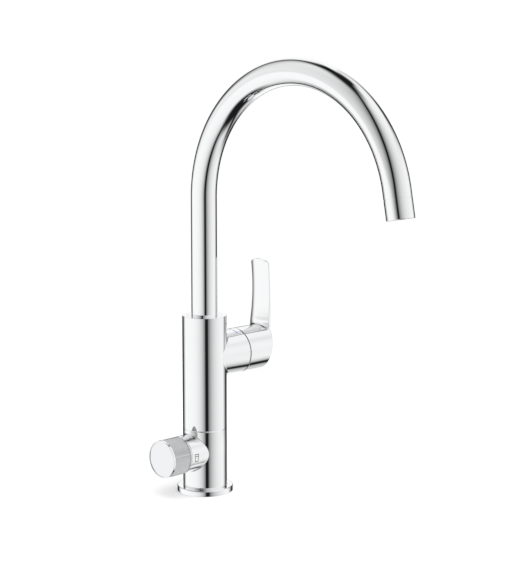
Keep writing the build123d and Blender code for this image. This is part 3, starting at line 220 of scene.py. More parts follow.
# Flags: dark cloths on a ball far round the tap, which only reflections show. They draw the
# dark lines along the chrome, and the white room shows between them. Bearings are in degrees
# from the camera's side, positive to its right, and heights are in degrees above the horizon.
flag_distance = 8000.0
turn, rise = np.meshgrid(np.radians(np.arange(0, 361, 1)), np.radians(np.arange(-90, 91, 1)))
outward = np.stack([np.cos(rise) * np.cos(turn), np.cos(rise) * np.sin(turn), np.sin(rise)], -1)
flag_cloth = bpy.data.materials.new("flag_cloth")
flags = surface("flags", [(flag_distance * outward, -outward)], flag_cloth)
seen = np.empty(3 * len(flags.data.vertices))
flags.data.vertices.foreach_get("co", seen)
seen = seen.reshape(-1, 3)
bearing = np.degrees(np.arctan2(seen[:, 1], seen[:, 0]) + camera_azimuth) + 90
bearing = (bearing + 180) % 360 - 180
height = np.degrees(np.arcsin(np.clip(seen[:, 2] / np.linalg.norm(seen, axis=1), -1, 1)))


def stepped(value, start, end):
    """0 before start and 1 after end, and 3 t squared - 2 t cubed between."""
    share = np.clip((value - start) / (end - start), 0, 1)
    return share * share * (3 - 2 * share)


def beside(centre, half, left, right, depth=1.0):
    """Light round a dark cloth that reaches half degrees each way from its centre.

    It is 1 - depth on the cloth. At the edge the depth shrinks by 12 percent, and past it by
    exp(-distance / width), with one width to the left and one to the right.
    """
    away = (bearing - centre + 180) % 360 - 180
    distance = np.abs(away) - half
    reach = np.exp(-np.clip(distance, 0, None) / np.where(away < 0, left, right))
    return 1 - depth * reach * (1 - 0.12 * stepped(distance, -1, 1))


# In front, one cloth below the horizon and one above it
above = stepped(height, -3, 5)
in_front = beside(13.0, 7.4, 20.0, 30.0) * (1 - above) + beside(-17.5, 6.5, 40.0, 38.0) * above
# Behind, near the horizon, it gets dark from about 110 degrees round. Above and below that a
# cloth hangs on each side, and straight behind all is bright but for a band at the horizon.
low = 1 - stepped(np.abs(height + 4), 20, 40)
wall = np.where(bearing > 0, 1 - stepped(bearing, 108, 146), 1 - stepped(-bearing, 112, 144))
corners = (beside(123 + 16 * above, 7.0, 13.0 + 5 * above, 18.0, 1 - stepped(height, 30, 45))
           * beside(-163.0, 10.0, 18.0, 20.0))
window_behind = stepped(np.abs(bearing), 156, 168) * stepped(np.abs(height + 5), 6, 16)
behind = np.maximum(low * wall + (1 - low) * corners, window_behind)
# Overhead it gets dark from 60 degrees up on the left and 68 on the right, 14 lower behind,
# and underfoot from 52 degrees down
on_right = stepped(bearing, -30, 30)
overhead = 60 + 8 * on_right - 14 * stepped(np.abs(bearing), 110, 150)
ceiling = 1 - stepped(height, overhead, overhead + 20)
ground = 1 - stepped(-height, 52, 72)
dark = 1 - in_front * behind * ceiling * ground
flags.data.attributes.new("dark", "FLOAT", "POINT").data.foreach_set("value", dark)
shader = Shader(flag_cloth)
shader.output(shader.node("ShaderNodeMixShader", None, {
    0: shader.node("ShaderNodeAttribute", {"attribute_name": "dark"}).out("Fac"),
    1: shader.node("ShaderNodeBsdfTransparent"),
    2: shader.node("ShaderNodeEmission", None, {"Color": (0.012, 0.012, 0.013, 1)})}))
flags.visible_camera = False
flags.visible_diffuse = False
flags.visible_shadow = False
flags.visible_transmission = False

# Base flange: a turned and chrome-plated brass rosette on the worktop. The column stands on
# the ledge inside it, and its outer top edge is rounded.
flange_radius = 24.0
flange_height = 4.8
flange_ledge = 2.0
flange_bore = 17.0
gasket_inner, gasket_outer, gasket_depth = 19.5, 22.5, 1.6
body_radius = 18.9


def profile(corners):
    """Runs of points and normals along corners (radius, along, rounding), metal on the left.

    A straight run's normal is its direction turned a quarter to the right. A rounded corner
    is an arc that touches both neighbours, and its normal turns evenly from one to the next.
    """
    at = np.array([corner[:2] for corner in corners], float)
    steps = np.diff(at, axis=0)
    heading = steps / np.linalg.norm(steps, axis=1, keepdims=True)
    normal = np.stack([heading[:, 1], -heading[:, 0]], 1)
    runs, start = [], at[0]
    for k in range(1, len(at)):
        rounding = corners[k][2] if len(corners[k]) > 2 and k < len(at) - 1 else 0
        if not rounding:
            runs.append((np.stack([start, at[k]]), np.stack([normal[k - 1]] * 2)))
            start = at[k]
            continue
        bend = np.arctan2(np.cross(heading[k - 1], heading[k]), heading[k - 1] @ heading[k])
        end = at[k] - rounding * np.tan(abs(bend) / 2) * heading[k - 1]
        runs.append((np.stack([start, end]), np.stack([normal[k - 1]] * 2)))
        turned = bend * np.linspace(0, 1, 9)[:, None]
        normals = normal[k - 1] * np.cos(turned) + heading[k - 1] * np.sin(turned)
        points = end + np.sign(bend) * rounding * (normals - normal[k - 1])
        runs.append((points, normals))
        start = points[-1]
    return runs


upward = ((1, 0, 0), (0, 1, 0), (0, 0, 1))
to_right = ((0, -1, 0), (0, 0, 1), (1, 0, 0))
to_left = ((0, -1, 0), (0, 0, 1), (-1, 0, 0))


def turned(runs, origin=(0, 0, 0), frame=upward, count=240):
    """Runs carried round an axis: origin + along * axis + radius * (cos a * u + sin a * v)."""
    u, v, axis = np.array(frame, float)
    angle = np.linspace(0, 2 * np.pi, count + 1)[:, None]
    spoke = u * np.cos(angle) + v * np.sin(angle)
    return [(origin + points[:, None, 1:] * axis + points[:, None, :1] * spoke,
             normals[:, None, 1:] * axis + normals[:, None, :1] * spoke)
            for points, normals in runs]


def plated(name, tint, smooth, worn, ripple):
    """Chrome plate over brass: mirror-like, with soft wiping marks and a faint polisher's ripple.

    Wiping marks of a few centimetres and dust of half a millimetre raise the roughness from
    smooth towards worn. The ripple is a bump in metres.
    """
    made, shader, place = new_material(name)
    wiped = shader.noise(place, 45.0, 4.0, 0.6)
    dust = shader.noise(place, 1800.0, 1.0)
    waves = shader.noise(place, 90.0, 1.0)
    shade = shader.node("ShaderNodeBsdfPrincipled", None, {
        "Base Color": shader.mix(wiped, tint, tuple(0.985 * c for c in tint[:3]) + (1,)),
        "Metallic": 1.0,
        "Roughness": smooth + (worn - smooth) * wiped * (0.6 + 0.4 * dust),
        "Normal": shader.node("ShaderNodeBump", None, {
            "Strength": 1.0, "Distance": ripple, "Height": waves})})
    shader.output(shade)
    return made


chrome = plated("chrome_plate", (0.955, 0.96, 0.968, 1), 0.004, 0.03, 2e-6)
flange = surface("flange_rosette", turned(profile([
    (flange_bore, 0), (gasket_inner, 0), (gasket_inner, gasket_depth), (gasket_outer, gasket_depth),
    (gasket_outer, 0), (flange_radius, 0, 0.15), (flange_radius, flange_height, 0.9),
    (19.45, flange_height, 0.1), (18.95, 4.3), (18.95, flange_ledge),
    (flange_bore, flange_ledge), (flange_bore, 0)])), chrome)
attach(flange, "tap_body")
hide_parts("base_flange")


# Base gasket: a black rubber ring let into the flange's underside.
def moulded(name, light, dark, roughness, grain, depth, metallic=0.0, **constant):
    """Moulded, cast or drawn stuff: two close tones and a fine grain of a given size in bump."""
    made, shader, place = new_material(name)
    broad = shader.noise(place, 0.06 / grain, 3.0)
    fine = shader.noise(place, 1.0 / grain, 2.0, 0.6)
    shade = shader.node("ShaderNodeBsdfPrincipled", None, {
        "Base Color": shader.mix(0.6 * broad + 0.4 * fine, light + (1,), dark + (1,)),
        "Metallic": metallic,
        "Roughness": roughness * (0.85 + 0.3 * fine),
        "Normal": shader.node("ShaderNodeBump", None, {
            "Strength": 0.6, "Distance": depth, "Height": fine}),
        **constant})
    shader.output(shade)
    return made


def dressed(material, *names):
    """Gives CAD nodes a finish."""
    for name in names:
        for slot in frame["nodes"][name].material_slots:
            slot.material = material


rubber = moulded("black_rubber", (0.022, 0.022, 0.023), (0.04, 0.04, 0.041), 0.62, 0.0004, 0.00003)
dressed(rubber, "base_gasket")

# Lower body: the brass foot of the column, chrome-plated. Its branch on the left holds the
# filter valve, its underside has three inlets and the hole of the fixing stud.
seam_height = 55.2
knob_height = 35.8
branch_radius = 15.85
branch_end = 29.0
neck_blend = 1.2
inlet_circle, inlet_radius, inlet_top = 10.5, 4.46, 12.0
foot_middle, foot_way = 5.0, 11.0
stud_offset, stud_radius = 12.0, 4.0
seam_bevel, seam_radius = 0.3, 18.6
spigot_radius, spigot_top = 16.25, 63.2
ring_radius, ring_low, ring_high = 15.0, 56.2, 58.0
valve_bore, valve_shoulder, valve_foot_bore, valve_foot = 12.0, 20.0, 9.0, 5.5


def column(arc, z):
    """Points and normals of the column's outside, from the way round it in mm and the height."""
    angle = arc / body_radius
    out = np.stack([np.cos(angle), np.sin(angle), 0 * angle], -1)
    return body_radius * out + z[..., None] * np.array((0, 0, 1.0)), out


def degrees_round(angle):
    return body_radius * np.radians(angle)


def stretch(start, end, low, high):
    """Part of the column's outside between two whole angles in degrees and two heights."""
    arc, z = np.meshgrid(degrees_round(np.linspace(start, end, end - start + 1)),
                         np.linspace(low, high, 3))
    return column(arc, z)


def window(start, end, low, high, count):
    """Corner-to-corner walk round a rectangle, and its direction from the middle point."""
    across, up = count
    a = np.concatenate([np.linspace(start, end, across + 1)[:-1], np.full(up, end),
                        np.linspace(end, start, across + 1)[:-1], np.full(up + 1, start)])
    b = np.concatenate([np.full(across, low), np.linspace(low, high, up + 1)[:-1],
                        np.full(across, high), np.linspace(high, low, up + 1)])
    return a, b


def round_hole(place, outer, middle, rim, steps):
    """Grid between a hole's rim and the rectangle round it, on the surface that place gives.

    rim gives the rim's two coordinates for a direction, the angle as seen from the middle.
    """
    angle = np.arctan2(outer[1] - middle[1], outer[0] - middle[0])
    share = np.linspace(0, 1, steps)[:, None]
    edge = rim(angle)
    return place(edge[0] + share * (outer[0] - edge[0]), edge[1] + share * (outer[1] - edge[1]))


def branch(angle, side, height, root, slope, blend, end):
    """The round branch on the column's side and the hollow of a rolling ball between the two.

    For an angle round the branch, 0 towards -Y and 90 degrees upwards, the ball's centre is
    where it touches both the column and the branch. It touches the column at the centre
    brought in by R / (R + ball), and the branch at the centre less ball * branch normal.
    """
    lean = np.arctan(slope)
    x = np.full(angle.shape, body_radius)
    for _ in range(20):
        reach = root + slope * x + blend / np.cos(lean)
        y = -reach * np.cos(angle)
        x = np.sqrt(np.maximum((body_radius + blend) ** 2 - y ** 2, 0.01))  # never below 0
    centre = np.stack([x, y, height + reach * np.sin(angle)], -1)
    out = np.stack([np.full(angle.shape, -np.sin(lean)), -np.cos(lean) * np.cos(angle),
                    np.cos(lean) * np.sin(angle)], -1)
    on_column = centre * np.array((1, 1, 0)) * body_radius / (body_radius + blend)
    on_column[:, 2] = centre[:, 2]
    on_branch = centre - blend * out
    first, last = on_column - centre, on_branch - centre
    share = np.linspace(0, 1, 13)[:, None, None]
    between = np.arccos(np.clip((first * last).sum(-1) / blend ** 2, -1, 1))[:, None]
    arc = (np.sin((1 - share) * between) * first + np.sin(share * between) * last) / np.sin(between)
    hollow = (centre + arc, -arc / blend)
    x = on_branch[:, 0] + np.linspace(0, 1, 9)[:, None] * (end - on_branch[:, 0])
    radius = root + slope * x
    barrel = (np.stack([x, -radius * np.cos(angle), height + radius * np.sin(angle)], -1),
              np.broadcast_to(out, x.shape + (3,)))
    flip = np.array((side, 1, 1))
    return on_column * flip, [(p * flip, n * flip) for p, n in (hollow, barrel)]


def branch_on_column(side, height, root, slope, blend, end, outer, middle):
    """The column round the branch inside a rectangle, the hollow and the branch."""
    angle = np.arctan2(outer[1] - middle[1], outer[0] - middle[0])
    foot, made = branch(angle if side < 0 else np.pi - angle, side, height, root, slope, blend, end)
    arc = body_radius * np.arctan2(side * foot[:, 1], side * foot[:, 0]) + middle[0]
    share = np.linspace(0, 1, 12)[:, None]
    made.append(column(arc + share * (outer[0] - arc),
                       foot[:, 2] + share * (outer[1] - foot[:, 2])))
    return made


left_side = body_radius * np.pi
patches = branch_on_column(-1, knob_height, branch_radius, 0.0, neck_blend, branch_end - 0.2,
                           window(left_side - degrees_round(82), left_side + degrees_round(82),
                                  flange_ledge, seam_height - seam_bevel, (164, 52)),
                           (left_side, knob_height))
patches.append(stretch(262, 458, flange_ledge, seam_height - seam_bevel))
for inner, outer in ((flange_bore, body_radius), (0, foot_middle)):
    patches += turned(profile([(inner, flange_ledge), (outer, flange_ledge)]), count=360)
patches += turned(profile([
    (body_radius, seam_height - seam_bevel), (seam_radius, seam_height),
    (spigot_radius, seam_height), (spigot_radius, ring_low), (ring_radius, ring_low),
    (ring_radius, ring_high), (spigot_radius, ring_high), (spigot_radius, spigot_top),
    (0, spigot_top)]))
patches += turned(profile([
    (branch_radius, branch_end - 0.2), (branch_radius - 0.2, branch_end),
    (valve_bore, branch_end), (valve_bore, valve_shoulder), (valve_foot_bore, valve_shoulder),
    (valve_foot_bore, valve_foot), (0, valve_foot)]), (0, 0, knob_height), to_left)


def underside(quarter):
    """Place on the foot's underside, from the way round at foot_way and the radius."""
    def place(arc, radius):
        angle = arc / foot_way + np.radians(quarter)
        points = np.stack([radius * np.cos(angle), radius * np.sin(angle),
                           np.full(angle.shape, flange_ledge)], -1)
        return points, np.broadcast_to((0.0, 0.0, -1.0), points.shape)
    return place


for quarter, offset, hole in ((0, stud_offset, stud_radius), (90, inlet_circle, inlet_radius),
                              (180, inlet_circle, inlet_radius), (270, inlet_circle, inlet_radius)):
    def rim(angle):
        across, out = hole * np.cos(angle), offset + hole * np.sin(angle)
        return foot_way * np.arctan2(across, out), np.hypot(across, out)
    span = foot_way * np.pi / 4
    patches.append(round_hole(underside(quarter),
                              window(-span, span, foot_middle, flange_bore, (90, 40)),
                              (0, offset), rim, 8))
    patches += turned(profile([(hole, inlet_top), (hole, flange_ledge)])
                      + profile([(0, inlet_top), (hole, inlet_top)]),
                      (offset * np.cos(np.radians(quarter)), offset * np.sin(np.radians(quarter)),
                       0), count=96)
lower = surface("column_foot", patches, chrome)
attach(lower, "tap_body")
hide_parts("lower_body")

# Upper body: the long chrome-plated column, and the tapered housing of the lever's cartridge
# on its right, cast in one and blended with a soft hollow.
lever_height = 116.9
column_top = 152.8
housing_root, housing_end = 18.4, 37.0
housing_slope = 1.3 / 37.0
housing_blend = 3.0
gland_radius, gland_low = 14.5, 149.3
bevel_x, bevel_radius = 36.08, 19.15
stop_height, grub_height, screw_radius = 141.0, 60.8, 2.0
branch_low, branch_high = 94.4, 139.4
stop_low, stop_high, grub_low, grub_high = 137.0, 145.0, 57.5, 64.5
column_bore, cavity_top, riser_radius = 16.3, 98.0, 3.5
mixing_radius, mixing_low, foot_radius, foot_low = 5.5, 117.5, 11.4, 133.4
bush_radius, bush_low = 14.0, 137.9
mouth_radius, mouth_floor, seat_radius, seat_x = 17.0, 29.0, 14.1, 7.5


def screw_hole(height):
    """The rim of a screw's hole in the column's back and its wall down to the bore."""
    behind = body_radius * np.pi / 2

    def rim(angle):
        x = -screw_radius * np.cos(angle)
        return body_radius * np.arctan2(np.sqrt(body_radius ** 2 - x ** 2), x), \
            height + screw_radius * np.sin(angle)
    turn = np.linspace(0, 2 * np.pi, 65)
    x, z = screw_radius * np.cos(turn), height + screw_radius * np.sin(turn)
    y = np.stack([np.sqrt(body_radius ** 2 - x ** 2), np.full(x.shape, column_bore)])
    wall = (np.stack([x + 0 * y, y, z + 0 * y], -1),
            np.stack([-np.cos(turn) + 0 * y, 0 * y, -np.sin(turn) + 0 * y], -1))
    return behind, rim, wall


patches = branch_on_column(1, lever_height, housing_root, housing_slope, housing_blend, bevel_x,
                           window(degrees_round(-83), degrees_round(83),
                                  branch_low, branch_high, (166, 45)),
                           (0, lever_height))
for height, box, count in ((stop_height, (83, 97, stop_low, stop_high), (14, 16)),
                           (grub_height, (80, 100, grub_low, grub_high), (20, 14))):
    behind, rim, wall = screw_hole(height)
    outer = window(degrees_round(box[0]), degrees_round(box[1]), box[2], box[3], count)
    patches += [wall, round_hole(column, outer, (behind, height), rim, 6)]
for place in ((-180, 180, seam_height + seam_bevel, grub_low), (100, 440, grub_low, grub_high),
              (-180, 180, grub_high, branch_low), (83, 277, branch_low, stop_low),
              (97, 277, stop_low, stop_high), (-83, 83, branch_high, stop_high),
              (-180, 180, stop_high, column_top - 0.25)):
    patches.append(stretch(*place))
patches += turned(profile([
    (body_radius, column_top - 0.3), (body_radius, column_top, 0.25),
    (gland_radius, column_top, 0.1), (gland_radius, gland_low), (bush_radius, gland_low),
    (bush_radius, bush_low), (foot_radius, bush_low), (foot_radius, foot_low),
    (mixing_radius, foot_low), (mixing_radius, mixing_low), (riser_radius, mixing_low),
    (riser_radius, cavity_top), (column_bore, cavity_top), (column_bore, seam_height),
    (seam_radius, seam_height), (body_radius, seam_height + seam_bevel)]), count=360)
patches += turned(profile([
    (housing_root + housing_slope * bevel_x, bevel_x), (bevel_radius, housing_end),
    (mouth_radius, housing_end, 0.1), (mouth_radius, mouth_floor), (seat_radius, mouth_floor),
    (seat_radius, seat_x), (0, seat_x)]), (0, 0, lever_height), to_right)
upper = surface("column_and_housing", patches, chrome)
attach(upper, "tap_body")
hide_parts("upper_body")

# Gland ring: the threaded chrome ring in the column's top that keeps the spout down.
gland = surface("gland_ring_polished", turned(profile([
    (11.15, gland_low), (gland_radius - 0.05, gland_low), (gland_radius - 0.05, column_top, 0.15),
    (11.15, column_top, 0.3), (11.15, gland_low)])), chrome)
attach(gland, "tap_body")
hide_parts("gland_ring")

# Hot and cold marks: two short lines of baked enamel in the housing's top, blue towards the
# front for cold and red towards the back for hot.
def spoke(angle):
    """Direction square to X: towards -Y at 0, and upwards at 90 degrees."""
    return np.stack([0 * angle, -np.cos(angle), np.sin(angle)], -1)


mark_low, mark_high = 30.0, 31.0
for name, node, slot, start, light, dark in (
        ("cold_line", "cold_mark", "enamel_blue", 62.5, (0.02, 0.12, 0.5), (0.015, 0.09, 0.4)),
        ("hot_line", "hot_mark", "enamel_red", 85.5, (0.5, 0.02, 0.02), (0.4, 0.014, 0.014))):
    angle = np.radians(np.linspace(start, start + 19, 39))
    along = np.array((mark_low, mark_low, mark_low + 0.1, mark_high - 0.1, mark_high, mark_high))
    raised = np.array((-0.2, 0.0, 0.04, 0.04, 0.0, -0.2))[:, None]
    radius = housing_root + housing_slope * along[:, None] + raised
    enamel = moulded(name + "_enamel", light, dark, 0.18, 0.0003, 0.000004, **{"Coat Weight": 0.6})
    line = surface(name, [(
        np.stack([along[:, None] + 0 * angle, -radius * np.cos(angle),
                  lever_height + radius * np.sin(angle)], -1),
        spoke(angle) + np.zeros((6, 1, 1)))], enamel)
    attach(line, "tap_body")
    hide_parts(node)

# Dome ring: a chrome cover, part of a ball about the lever's pivot, which fills the gap
# between housing and lever when the lever is lifted.
pivot = 25.0
dome_radius, dome_wall, dome_opening = 22.3, 1.0, 15.2


def ball(radius, start, end, facing):
    """Run along a circle about the pivot, from one angle off the axis to another."""
    angle = np.linspace(start, end, 25)
    way = np.stack([np.sin(angle), np.cos(angle)], 1)
    return radius * way + np.array((0, pivot)), facing * way


wide = np.arccos((housing_end - pivot) / dome_radius)
narrow = np.arcsin(dome_opening / dome_radius)
dome_runs = [ball(dome_radius, wide, narrow, 1), ball(dome_radius - dome_wall, wide, narrow, -1)]
lip = np.stack([dome_runs[0][0][-1], dome_runs[1][0][-1]])
dome_runs.append((lip, np.array([(-np.cos(narrow), np.sin(narrow))] * 2)))
dome = surface("dome_cover", turned(dome_runs, (0, 0, lever_height), to_right), chrome)
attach(dome, "tap_body")
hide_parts("dome_ring")

# Lever: one zinc casting, chrome-plated, a round cap over the cartridge and an upright blade.
# Its back is one swept surface, and its outer edges are rolled over by up to 0.6 mm. The
# blade's crown and its tight root fillet follow the photograph, and the CAD is plainer there.
cap_radius, cap_start = 19.7, 37.3
cap_lip = 0.15
lever_hollow = 22.7
edge_roll = 0.6
root_fillet = 2.0
tip_rounding = 1.6
boss_radius, boss_start, boss_bore, socket_end = 6.5, 38.0, 5.7, 51.5
plug_x, plug_radius, plug_length = 49.0, 2.5, 3.5
back_points = np.array([(53.6, -22.7), (62.9, -12.9), (66.9, 2.1), (70.0, 24.1), (70.5, 43.1),
                        (68.6, 81.1)])
face_x, face_bow, face_low, face_high = 66.2, 1.9, 22.1, 79.2
face_crown, face_half, face_calm = 2.5, 10.6, 0.25


def smooth_line(points, first, last, count=3000):
    """Cubic spline through points, with its knots at the chord lengths and given end slopes.

    Its slopes m at the knots solve the rows h2 m0 + 2 (h1 + h2) m1 + h1 m2 =
    3 (h2 d1 + h1 d2), d being the slope of each chord, so that its bend has no jumps.
    """
    step = np.linalg.norm(np.diff(points, axis=0), axis=1)
    chord = np.diff(points, axis=0) / step[:, None]
    rows, right = np.eye(len(points)), np.zeros(points.shape)
    right[0], right[-1] = first, last
    for k in range(1, len(points) - 1):
        rows[k, k - 1:k + 2] = step[k], 2 * (step[k - 1] + step[k]), step[k - 1]
        right[k] = 3 * (step[k] * chord[k - 1] + step[k - 1] * chord[k])
    slope = np.linalg.solve(rows, right)
    knot = np.concatenate([[0], np.cumsum(step)])
    t = np.linspace(0, knot[-1], count)
    k = np.clip(np.searchsorted(knot, t) - 1, 0, len(step) - 1)
    s, h = ((t - knot[k]) / step[k])[:, None], step[k][:, None]
    return ((1 + 2 * s) * (1 - s) ** 2 * points[k] + s * (1 - s) ** 2 * h * slope[k]
            + s ** 2 * (3 - 2 * s) * points[k + 1] + s ** 2 * (s - 1) * h * slope[k + 1])


side_view = smooth_line(back_points, (1.0, 0.0), (-0.08, 1.0))
side_slope = np.gradient(side_view[:, 0], side_view[:, 1])


def unit(vector):
    return vector / np.linalg.norm(vector, axis=-1, keepdims=True)


def back_of(y, z):
    """The lever's back: x from the side view at that height, less 4 (y / 20) squared."""
    x = np.interp(z, side_view[:, 1], side_view[:, 0]) - 4 * (y / 20) ** 2
    slope = np.interp(z, side_view[:, 1], side_slope)
    return (np.stack([x, y, z], -1),
            unit(np.stack([np.ones(y.shape), 8 * y / 400, -slope], -1)))


def face_at(z):
    """The blade's inner face: a flat below face_low, and a shallow arch above it."""
    middle, half = (face_low + face_high) / 2, (face_high - face_low) / 2
    arch = face_bow * (1 - ((z - middle) / half) ** 2)
    eased = np.clip((z - face_low + 2) / 6, 0, 1)
    return face_x + np.where(z > face_low - 2, np.clip(arch, 0, None) * eased, 0)


def front_of(y, z):
    """Where the blade starts: the fillet on the cap up to its full radius, then the face.

    The fillet's middle line lies root_fillet off the cap and off the face. Its surface is
    at root_fillet from that line, towards the cap and the face. Both swell towards the
    column by face_crown * (1 - (y / face_half) squared) in the blade's middle.
    """
    radius = np.hypot(y, z)
    outer = cap_radius + root_fillet
    middle = face_at(outer * z / radius) - root_fillet
    turn = np.arccos(np.clip((outer - radius) / root_fillet, 0, 1))
    on_fillet = radius < outer
    swell = face_crown * np.clip(1 - (y / face_half) ** 2, 0, 1)
    lean = 2 * face_crown * y / face_half ** 2
    x = np.where(on_fillet, middle + root_fillet * np.sin(turn), face_at(z)) - swell
    slope = (face_at(z + 0.2) - face_at(z - 0.2)) / 0.4
    hollow = np.stack([-np.sin(turn), np.cos(turn) * y / radius + lean * np.sin(turn),
                       np.cos(turn) * z / radius], -1)
    plain = np.stack([-np.ones(y.shape), lean, slope], -1)
    return np.stack([x, y, z], -1), unit(np.where(on_fillet[..., None], hollow, plain))


def circle_through(a, b, c):
    """Centre and radius of the circle through three points of the plane."""
    rows = 2 * np.array([np.subtract(b, a), np.subtract(c, a)])
    right = np.array([np.dot(b, b) - np.dot(a, a), np.dot(c, c) - np.dot(a, a)])
    centre = np.linalg.solve(rows, right)
    return centre, np.linalg.norm(np.subtract(a, centre))


side_centre, side_radius = circle_through((12.6, 8.0), (10.6, 49.0), (10.75, 74.8))
tip_centre, tip_radius = circle_through((10.75, 74.8), (0.0, 78.2), (-10.75, 74.8))


def side_y(z, more=0.0):
    """Half the blade's width at a height, on the waisted side's circle or one larger."""
    return side_centre[0] - np.sqrt((side_radius + more) ** 2 - (z - side_centre[1]) ** 2)


z = np.linspace(5, 78, 200001)
corner_z = z[np.argmin(np.abs(np.hypot(side_y(z, tip_rounding) - tip_centre[0], z - tip_centre[1])
                              - (tip_radius - tip_rounding)) + (z < 60))]
corner = np.array((side_y(corner_z, tip_rounding), corner_z))
side_end = side_centre + (corner - side_centre) * side_radius / (side_radius + tip_rounding)
tip_start = tip_centre + (corner - tip_centre) * tip_radius / (tip_radius - tip_rounding)
join_z = z[np.argmin(np.abs(np.hypot(side_y(z), z) - cap_radius))]
join = np.degrees(np.arctan2(join_z, side_y(join_z)))

# The lever's outline as seen along the cartridge, its right half from the bottom to the tip:
# the cap's circle, the blade's waisted side, the rounded corner and the arched tip.
def around(angle):
    return np.stack([np.cos(angle), np.sin(angle)], -1)


cap_line = around(np.radians(np.append(np.arange(-90, join - 1, 2.0), join)))
turns = np.linspace(0, np.pi / 2, 13)
fillet_z = np.array([z[np.argmin(np.abs(np.hypot(side_y(z), z) - cap_radius - root_fillet
                                        * (1 - np.cos(a))))] for a in turns])
heights = np.concatenate([fillet_z, np.linspace(fillet_z[-1], side_end[1], 49)[1:]])
side_line = np.stack([side_y(heights), heights], 1)
low, high = np.arctan2(*(side_end - corner)[::-1]), np.arctan2(*(tip_start - corner)[::-1])
corner_way = around(np.linspace(low, high, 11))
tip_way = around(np.linspace(np.arctan2(*(tip_start - tip_centre)[::-1]), np.pi / 2, 21))
blade_outline = np.concatenate([side_line, corner + tip_rounding * corner_way[1:],
                                tip_centre + tip_radius * tip_way[1:]])
blade_normal = np.concatenate([(side_centre - side_line) / side_radius, corner_way[1:],
                               tip_way[1:]])
cap_outline, cap_normal = cap_radius * cap_line, cap_line


def rolled(edge, normal, top_of, side_x, roll):
    """Quarter round between a side wall and a surface, on an outline (y, z) with its normals.

    It starts on the wall at side_x, ends on the surface one roll inside the outline, and
    follows the parabola between the two that has the sharp corner as its control point.
    """
    inset = edge - roll[:, None] * normal
    sharp = np.stack([top_of(edge[:, 0], edge[:, 1])[0][:, 0], edge[:, 0], edge[:, 1]], 1)
    wall = sharp.copy()
    wall[:, 0] = side_x(sharp[:, 0], roll)
    wall_normal = np.stack([0 * normal[:, 0], normal[:, 0], normal[:, 1]], 1)
    over, over_normal = top_of(inset[:, 0], inset[:, 1])
    t = np.linspace(0, 1, 7)[:, None, None]
    points = (1 - t) ** 2 * wall + 2 * t * (1 - t) * sharp + t ** 2 * over
    return (points, unit((1 - t) * wall_normal + t * over_normal)), inset, wall


outline = np.concatenate([cap_outline, blade_outline])
outline_normal = np.concatenate([cap_normal, blade_normal])
half = []
roll = np.full(len(outline), edge_roll)
edge_patch, inset, back_wall = rolled(outline, outline_normal, back_of,
                                      lambda x, r: x - r, roll)
inset[0, 0] = inset[-1, 0] = 0
half.append(edge_patch)
share = np.linspace(0, 1, 25)
half.append(back_of(inset[:, :1] * share, inset[:, 1:] + 0 * share))

blade = slice(len(cap_outline), None)
near_cap = np.clip((np.hypot(*blade_outline.T) - cap_radius) / 3, 0, 1)
roll = 0.5 * edge_roll * near_cap * near_cap * (3 - 2 * near_cap)
edge_patch, front_inset, front_wall = rolled(blade_outline, blade_normal, front_of,
                                             lambda x, r: x + r, roll)
front_inset[-1, 0] = 0
half.append(edge_patch)
wall_normal = np.stack([0 * blade_normal[:, 0], blade_normal[:, 0], blade_normal[:, 1]], 1)
share = np.linspace(0, 1, 5)[:, None, None]
half.append((front_wall + share * (back_wall[blade] - front_wall), wall_normal + 0 * share))

# The root fillet and the inner face of the blade, row by row up the inset outline
outer = cap_radius + root_fillet
in_fillet = int(np.argmin(np.abs(np.hypot(*front_inset.T) - outer))) + 1
widest = np.arctan2(front_inset[:in_fillet, 0], front_inset[:in_fillet, 1])[:, None]
radius = np.hypot(*front_inset[:in_fillet].T)[:, None]
share = np.linspace(0, 1, 17)
half.append(front_of(radius * np.sin(widest * share), radius * np.cos(widest * share)))
rows = front_inset[in_fillet - 1:]
spread = np.sin(widest[-1] * share) / np.sin(widest[-1])
bulge = radius[-1] * np.cos(widest[-1] * share) - rows[0, 1]
rising = np.linspace(1, 0, len(rows))[:, None] ** 2
half.append(front_of(rows[:, :1] * spread, rows[:, 1:] + rising * bulge))

# The cap's round side: its lower part beside the screw plug, and its top under the fillet
near = cap_start + cap_lip
beside_plug = 6


def cap_strip(end, way):
    """The cap's side from its lip to x = end, way being y and z over the radius."""
    x = near + np.linspace(0, 1, 9)[:, None] * (end - near)
    out = np.column_stack([0 * end, way]) + 0 * x[..., None]
    return cap_radius * out + x[..., None] * np.array((1, 0, 0)), out


angle = np.linspace(0, 1, 17) * widest[0]
top_way = np.stack([np.sin(angle), np.cos(angle)], 1)
half.append(cap_strip(back_wall[beside_plug:len(cap_outline), 0], cap_line[beside_plug:]))
half.append(cap_strip(front_of(*cap_radius * top_way.T)[0][:, 0], top_way))

# The face's half towards the spout shades flatter than it is, so it doesn't mirror the tube
mirror = np.array((1, -1, 1))
patches = half + [(p * mirror, unit(n * mirror * np.where(
    n[..., :1] < -0.7, np.array((1, face_calm, 1)), 1.0))) for p, n in half]


def cap_side(arc, x):
    """Place on the cap's underside, from the way round from the bottom in mm and x."""
    angle = arc / cap_radius - np.pi / 2
    way = np.stack([0 * angle, np.cos(angle), np.sin(angle)], -1)
    return cap_radius * way + x[..., None] * np.array((1, 0, 0)), way


def plug_rim(angle):
    return plug_radius * np.cos(angle), plug_x + plug_radius * np.sin(angle)


